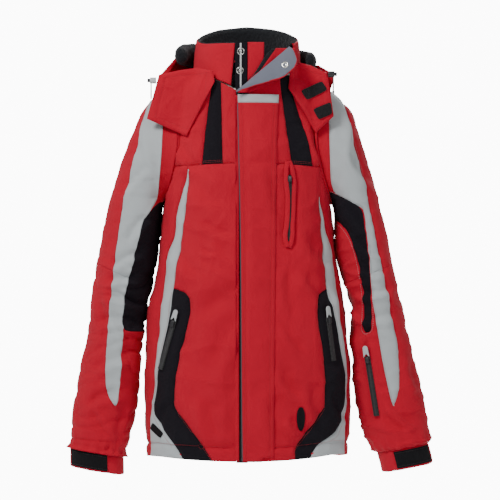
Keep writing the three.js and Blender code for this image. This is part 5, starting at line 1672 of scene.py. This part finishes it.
patch_on("upper_hook_patch", flap_fronts["left"], [(102, 707), (142, 726), (153, 709), (114, 689)], 1.3,
         hook_tape, 1.6, "hood", "ribbed_black")
patch_on("lower_hook_patch", flap_fronts["left"], [(125, 672), (159, 686), (162, 663), (136, 652)], 1.3,
         hook_tape, 1.6, "hood", "ribbed_black")
patch_on("hem_patch", body_tree, [(93, 106), (110, 106), (108, 60), (94, 62)], 1.0, tab_cloth, 1.4,
         "root", "ribbed_black", oval=0.8)
patch_on("blank_label", body_tree, [(-181, 74), (-160, 55), (-166, 45), (-186, 62)], 1.2, tab_cloth, 1.2,
         "root", "ribbed_black")
print("hood made")

# %% [markdown]
# ## Zips, sliders and pulls
# The moving parts of a zip keep their measured shape, but real mouldings have rounded edges that catch
# the light. A copy of each measured part is merged into one skin and its edges are bevelled.


# %% Rounded copies of measured parts
def softened(node_name, width, material, body_name, slot, segments=3):
    """A copy of a measured part with rounded edges."""
    mesh = frame["nodes"][node_name].data.copy()
    made = bpy.data.objects.new(f"{node_name}_rounded", mesh)
    bpy.context.collection.objects.link(made)
    fix = bmesh.new()
    fix.from_mesh(mesh)
    bmesh.ops.remove_doubles(fix, verts=fix.verts, dist=1e-5)
    bmesh.ops.dissolve_limit(fix, angle_limit=math.radians(3), verts=fix.verts, edges=fix.edges)
    bmesh.ops.recalc_face_normals(fix, faces=fix.faces)
    fix.to_mesh(mesh)
    fix.free()
    mesh.materials.clear()
    mesh.materials.append(material)
    edge = made.modifiers.new("edge", "BEVEL")
    edge.width, edge.segments = width / 1000, segments
    edge.limit_method, edge.angle_limit = "ANGLE", math.radians(35)
    bake(made)
    made.data.polygons.foreach_set("use_smooth", [True] * len(made.data.polygons))
    made.data.set_sharp_from_angle(angle=math.radians(50))
    return settle(made, body_name, slot, node_name)


body_of = {n: b for b, nodes in frame["record"]["behaviour"]["bodies"].items() for n in nodes}
for name in ("right_pocket", "left_pocket", "chest_pocket", "sleeve_pocket"):
    softened(f"{name}_slider", 1.3, black_plastic, f"{name}_slider", "zip_black")
    if name != "chest_pocket":
        softened(f"{name}_pull", 0.7, pull_plastic, f"{name}_pull", "pull_grey")
softened("hang_loop", 0.5, tab_cloth, "root", "zip_black")
for name in ("right_cord_lock", "left_cord_lock", "right_lock_button", "left_lock_button"):
    silver = name == "right_cord_lock"
    softened(name, 0.9, silver_plastic if silver else black_plastic, body_of[name],
             "lock_silver" if silver else "lock_black")

# %% [markdown]
# ## Teeth and stitches
# Both are one small shape repeated along a line, which is what Geometry Nodes are for: the line is
# resampled at the pitch, and a small rounded shape is set on each point, turned along the line.


# %% A tree that repeats a bead along lines
def bead_tree(material, name):
    tree = bpy.data.node_groups.new(name, "GeometryNodeTree")
    face = tree.interface
    face.new_socket("Lines", in_out="INPUT", socket_type="NodeSocketGeometry")
    for label in ("Pitch", "Length", "Width", "Height"):
        face.new_socket(label, in_out="INPUT", socket_type="NodeSocketFloat")
    face.new_socket("Beads", in_out="OUTPUT", socket_type="NodeSocketGeometry")
    start, end = node(tree, "NodeGroupInput"), node(tree, "NodeGroupOutput")
    curve = node(tree, "GeometryNodeMeshToCurve")
    even = node(tree, "GeometryNodeResampleCurve", mode="LENGTH")
    ball = node(tree, "GeometryNodeMeshUVSphere", {"Segments": 6, "Rings": 4, "Radius": 0.5})
    tangent = node(tree, "GeometryNodeInputTangent")
    stored = node(tree, "GeometryNodeInputNamedAttribute", {"Name": "outward"}, data_type="FLOAT_VECTOR")
    turn = node(tree, "FunctionNodeAxesToRotation", primary_axis="X", secondary_axis="Z")
    size = node(tree, "ShaderNodeCombineXYZ")
    beads = node(tree, "GeometryNodeInstanceOnPoints")
    real = node(tree, "GeometryNodeRealizeInstances")
    finish = node(tree, "GeometryNodeSetMaterial", {"Material": material})
    link = tree.links.new
    link(start.outputs["Lines"], curve.inputs["Mesh"])
    link(curve.outputs["Curve"], even.inputs["Curve"])
    link(start.outputs["Pitch"], even.inputs["Length"])
    link(even.outputs["Curve"], beads.inputs["Points"])
    link(ball.outputs["Mesh"], beads.inputs["Instance"])
    link(tangent.outputs["Tangent"], turn.inputs["Primary Axis"])
    link(stored.outputs["Attribute"], turn.inputs["Secondary Axis"])
    link(turn.outputs["Rotation"], beads.inputs["Rotation"])
    for label, axis in (("Length", "X"), ("Width", "Y"), ("Height", "Z")):
        link(start.outputs[label], size.inputs[axis])
    link(size.outputs["Vector"], beads.inputs["Scale"])
    link(beads.outputs["Instances"], real.inputs["Geometry"])
    link(real.outputs["Geometry"], finish.inputs["Geometry"])
    link(finish.outputs["Geometry"], end.inputs["Beads"])
    return tree


def beads_along(name, lines, material, pitch, length, width, height):
    """Beads along lines of (point, outward) pairs in pattern millimetres, as one mesh."""
    points, outs, edges = [], [], []
    for line in lines:
        edges += [(len(points) + n, len(points) + n + 1) for n in range(len(line) - 1)]
        points += [p for p, _ in line]
        outs += [o for _, o in line]
    mesh = bpy.data.meshes.new(name)
    mesh.from_pydata(place(points).tolist(), edges, [])
    outward = mesh.attributes.new("outward", "FLOAT_VECTOR", "POINT")
    outward.data.foreach_set("vector", np.array(outs, float).ravel())
    made = bpy.data.objects.new(name, mesh)
    bpy.context.collection.objects.link(made)
    repeat = made.modifiers.new("beads", "NODES")
    repeat.node_group = bead_tree(material, f"{name}_beads")
    for label, value in (("Pitch", pitch), ("Length", length), ("Width", width), ("Height", height)):
        socket = next(s for s in repeat.node_group.interface.items_tree if s.name == label)
        repeat[socket.identifier] = value / 1000
    bake(made)
    made.data.polygons.foreach_set("use_smooth", [True] * len(made.data.polygons))
    return made


# %% Zip teeth
def zip_frame(name):
    """The slider's middle, the way along its zip and the way out of it, in millimetres."""
    mesh = frame["nodes"][f"{name}_slider"].data
    points = np.array([v.co[:] for v in mesh.vertices]) * 1000 - OFFSET
    middle = (points.min(0) + points.max(0)) / 2
    along = np.array(next(j for j in frame["joints"] if j["name"] == f"{name}_slide")["axis"], float)
    _, _, axes = np.linalg.svd(points - points.mean(0))
    out = axes[-1] - along * (axes[-1] @ along)
    out = out / np.linalg.norm(out)
    return middle, along, out if out[1] < 0 else -out


ZIP_LENGTHS = {"right_pocket": 94, "left_pocket": 81, "chest_pocket": 122, "sleeve_pocket": 112}
TOOTH = {"pitch": 1.5, "length": 1.1, "width": 4.4, "height": 0.9}
FRONT_TOOTH = {"pitch": 1.9, "length": 1.4, "width": 5.4, "height": 1.4}
for name, length in ZIP_LENGTHS.items():
    middle, along, out = zip_frame(name)
    strip = frame["nodes"][f"{name}_zip"]
    band = BVHTree.FromPolygons([list(np.array(v.co[:]) * 1000 - OFFSET) for v in strip.data.vertices],
                                [list(p.vertices) for p in strip.data.polygons])
    line = []
    for s in np.linspace(-5, length, 60):
        over = middle + along * s + out * 6
        hit = band.ray_cast(Vector(over), Vector(-out))[0]
        if hit:
            line.append((np.array(hit) - out * 0.15, out))
    teeth = beads_along(f"{name}_teeth", [line], black_plastic, **TOOTH)
    settle(teeth, body_of[f"{name}_zip"], "zip_black")
    strip.data.materials.clear()
    strip.data.materials.append(zip_tape)
front_teeth = [(np.array([ZIP_X, float(front_line(z)) - 1.1, z]), np.array([0, -1, 0.05]))
               for z in np.linspace(6, 696, 120)]
front_row = beads_along("front_zip_teeth", [front_teeth], black_plastic, **FRONT_TOOTH)
settle(front_row, "root", "zip_black")
print("zips made")


# %% Lips over the chest pocket
LIP_RADIUS = 4.6
LIP_FLATNESS = 0.42
LIP_TOP = 572
LIP_BOTTOM = 408


def lip_line(sign):
    line = []
    for s in np.linspace(0, 1, 40):
        z = mix(LIP_TOP, LIP_BOTTOM, s)
        open_by = 2.2 * math.exp(-((z - 532) / 18) ** 2) + 1.5 * math.exp(-((z - 434) / 10) ** 2)
        ends = min(1, s / 0.08, (1 - s) / 0.08)
        x = 78 + 4 * math.sin(math.pi * min(1, s * 1.15)) + sign * (5.3 + open_by) * (0.25 + 0.75 * ends)
        line.append((x, ahead(body_tree, x, z, 1.4 + 1.6 * ends), z))
    return line


for sign, name in ((-1, "inner"), (1, "outer")):
    tube(f"chest_pocket_{name}_lip", lip_line(sign), LIP_RADIUS, red_cloth, "root", "shell_red",
         sides=16, flat=LIP_FLATNESS)

# %% [markdown]
# ## Topstitching
# Every seam of the shell is topstitched a couple of millimetres from its edge. The rows are found by
# moving each seam line sideways on the flat pattern and dropping it on the finished cloth.


# %% Stitch rows on the body
STITCH = {"pitch": 3.6, "length": 2.7, "width": 0.75, "height": 0.55}


def on_cloth(tree, points, out=0.15):
    """Drops points on a finished surface: (point, outward) pairs, split where the cloth is far off."""
    lines, line = [], []
    for p in points:
        spot, normal, _, far = tree.find_nearest(Vector(p))
        if spot is None or far > 16 or normal.z < -0.5:
            if len(line) > 2:
                lines.append(line)
            line = []
            continue
        line.append((np.array(spot + normal * out), np.array(normal)))
    if len(line) > 2:
        lines.append(line)
    return lines


def body_row(name, low, high, aside):
    z = np.arange(low, high, 4.0)
    angle = edge_angle(name, z) + aside / half_width(z)
    return list(body(z, angle, -2.0))


body_rows = []
ROWS = [
    ("right_stripe_outer", 40, 545, -2.6), ("right_stripe_inner", POCKET_TOP + 4, 540, 2.6),
    ("right_pocket_inner", 4, POCKET_TOP - 6, 2.8), ("right_pocket_inner", 4, POCKET_TOP - 14, 7.0),
    ("right_stripe_inner", 30, POCKET_TOP - 6, -2.4), ("left_stripe_outer", 40, 492, 2.6),
    ("left_stripe_inner", POCKET_TOP + 4, 492, -2.6), ("left_pocket_inner", 4, POCKET_TOP - 6, -2.8),
    ("left_pocket_inner", 4, POCKET_TOP - 14, -7.0), ("left_stripe_inner", 40, POCKET_TOP - 6, 2.4),
    ("right_yoke_outer", 566, 704, -2.6), ("right_yoke_inner", 562, 700, 2.6),
    ("left_yoke_inner", 566, 700, -2.6), ("left_yoke_outer", 570, 704, 2.6),
]
for row in ROWS:
    body_rows += on_cloth(body_tree, body_row(*row))
around = np.linspace(0.02, TURN - 0.16, 420)
for high, aside in ((chest_height, 3.0), (chest_height, 6.5)):
    ring = body(CHEST_SEAM, around, -2.0)
    ring[:, 2] = chest_height(ring[:, 0]) + aside
    body_rows += on_cloth(body_tree, list(ring))
ring = body(HEM_BAND, around, -2.0)
lift = np.where(ring[:, 0] > 0, 13, 8) * (np.abs(ring[:, 0]) / 190) ** 2
ring[:, 2] += 2.6 + lift * np.clip(np.cos(around) + 0.4, 0, 1)
body_rows += on_cloth(body_tree, list(ring))
for sign in (-1, 1):
    z = np.arange(30, 540, 4.0)
    seam = SIDE_SEAM * sign + (TURN if sign < 0 else 0) + 0.016
    body_rows += on_cloth(body_tree, list(body(z, np.full(len(z), seam), -2.0)))
settle(beads_along("body_topstitch", body_rows, red_thread, **STITCH), "root", "shell_red")

levels = np.arange(FLAP_LOW + 4, 682, 4.0)
flap_rows = [[(x, -140, z) for x, z in zip(FLAP_SEWN(levels) - d, levels)] for d in (4.0, 9.0)]
flap_rows.append([(x, -140, z) for x, z in zip(FLAP_FREE(levels) + 7, levels)])
rows = []
for row in flap_rows:
    line = []
    for x, y, z in row:
        line.append((np.array([x, ahead(flap_tree, x, z, 0.15), z]), np.array([0, -1, 0.05])))
    rows.append(line)
settle(beads_along("flap_topstitch", rows, red_thread, **STITCH), "storm_flap", "shell_red")

# %% Stitch rows on the sleeves, the collar, the cuffs and the chin flaps
for side in SLEEVES:
    halves = {"upper": [], "lower": []}
    for kind, aside in (("stripe", 2.4), ("patch", -2.4)):
        ring = SLEEVE_RINGS[side, kind]
        ring = np.concatenate([ring, ring[:1]])
        steps = np.concatenate([[0], np.cumsum(np.hypot(*np.diff(ring, axis=0).T))])
        at = np.arange(0, steps[-1], 4.0)
        x, z = np.interp(at, steps, ring[:, 0]), np.interp(at, steps, ring[:, 1])
        dx, dz = np.gradient(x), np.gradient(z)
        norm = np.maximum(np.hypot(dx, dz), 1e-6)
        for half in halves:
            line = []
            for px, pz, ux, uz in zip(x, z, dx / norm, dz / norm):
                sx, sz = px + uz * aside, pz - ux * aside
                hit, normal, _, _ = sleeve_trees[side].ray_cast(Vector((sx, -300, sz)), Vector((0, 1, 0)))
                split = 352 + 0.45 * (abs(sx) - 236)
                on_half = sz > split + 4 if half == "upper" else sz < split - 4
                if hit is not None and hit.y < -6 and on_half:
                    line.append((np.array(hit + normal * 0.15), np.array(normal)))
                else:
                    if len(line) > 2:
                        halves[half].append(line)
                    line = []
            if len(line) > 2:
                halves[half].append(line)
    for half, lines in halves.items():
        piece = beads_along(f"{side}_sleeve_stitch_{half}", lines, grey_thread, **STITCH)
        bend_with_arm(piece, side, half)

for side, tree in flap_fronts.items():
    upper, lower = FLAP_SIDES[side]
    inset = 0.12
    u = np.linspace(inset, 1 - inset, 30)
    rows = []
    for share in (0.10, 0.90):
        ux, uz = along_line(upper, u)
        lx, lz = along_line(lower, u)
        rows.append(list(zip(mix(ux, lx, share), mix(uz, lz, share))))
    for share in (inset, 1 - inset):
        ux, uz = along_line(upper, share)
        lx, lz = along_line(lower, share)
        v = np.linspace(0.10, 0.90, 30)
        rows.append(list(zip(mix(ux, lx, v), mix(uz, lz, v))))
    lines = []
    for row in rows:
        hits = [tree.ray_cast(Vector((x, -400, z)), Vector((0, 1, 0)))[0] for x, z in row]
        lines.append([(np.array(hit) + (0, -0.1, 0), (0, -1, 0)) for hit in hits if hit])
    settle(beads_along(f"{side}_chin_stitch", lines, red_thread, **STITCH), "hood", "shell_red")

for side in SLEEVES:
    v_low, v_high = 0.14, 0.82
    span = np.radians(np.linspace(28, 110, 60))
    lines = []
    for v in (v_low, v_high):
        points = cuff_point(side, v, span, -3.0)
        middle = cuff_point(side, v, span, 8.0)
        lines.append([(p, p - m) for p, m in zip(points, middle)])
    row = beads_along(f"{side}_tab_stitch", lines, black_thread, **STITCH)
    settle(row, f"{side}_cuff_tab", "ribbed_black")

collar_rows = []
for v in (0.10, 0.93):
    points, within = collar(v, round_collar, -0.6), collar(v, round_collar, 8.0)
    collar_rows.append([(p, p - q) for p, q in zip(points, within)])
settle(beads_along("collar_topstitch", collar_rows, red_thread, **STITCH), "root", "shell_red")
print("stitches made")

# %% [markdown]
# ## Drawcord loops
# The hood's elastic cord comes out of each lock, hangs in a small loop and goes back in. It is the
# same route as the measured cord's, drawn as a smooth curve with the real cord's thickness.

# %% The cords
CORD_RADIUS = 1.25
CORD_OUT = 9.8
LOCK_DROP = 6.4
CORD_ROUTE = [  # forward and down from the lock's holes
    (-3, 0), (-3.2, 3), (-5, 9), (-7, 17), (-6, 24), (0, 28), (6, 24), (7, 17), (5, 9), (3.2, 3), (3, 0),
]
for side, sign in (("right", -1), ("left", 1)):
    low, high = (np.array(c) * 1000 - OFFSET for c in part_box(f"{side}_cord_lock"))
    mouth = high[0] if sign < 0 else low[0]
    at = np.array([mouth, (low[1] + high[1]) / 2, (low[2] + high[2]) / 2])
    route = np.array([(at[0] + sign * CORD_OUT, at[1] - f, at[2] - LOCK_DROP - d) for f, d in CORD_ROUTE])
    share = np.linspace(0, len(route) - 1, 61)
    smooth_route = []
    for s in share:
        n = min(int(s), len(route) - 2)
        t = s - n
        p0, p1, p2 = route[max(n - 1, 0)], route[n], route[n + 1]
        p3 = route[min(n + 2, len(route) - 1)]
        smooth_route.append(0.5 * (2 * p1 + (p2 - p0) * t + (2 * p0 - 5 * p1 + 4 * p2 - p3) * t * t
                                   + (3 * p1 - p0 - 3 * p2 + p3) * t ** 3))
    points = place(smooth_route)
    data = bpy.data.curves.new(f"{side}_drawcord", "CURVE")
    data.dimensions = "3D"
    data.bevel_depth = CORD_RADIUS / 1000
    data.bevel_resolution = 3
    data.use_fill_caps = True
    spline = data.splines.new("POLY")
    spline.points.add(len(points) - 1)
    for target, point in zip(spline.points, points):
        target.co = (*point, 1)
    data.materials.append(silver_braid if side == "right" else braid)
    cord = bpy.data.objects.new(f"{side}_drawcord", data)
    bpy.context.collection.objects.link(cord)
    length = float(np.linalg.norm(np.diff(points, axis=0), axis=1).sum())
    settle(cord, "hood", "cord", f"{side}_cord_loop")
    beads = []
    if side == "left":
        low_end = smooth_route[len(smooth_route) // 2]
        beads = [tube("left_cord_bead", [low_end + (0, 0, h) for h in (-2.6, -2.2, 0, 2.2, 2.6)], 2.3,
                      silver_plastic, "hood", "lock_silver", sides=16)]
    tuple(points[0])
    print("  ", side, "cord", round(length * 1000), "mm")
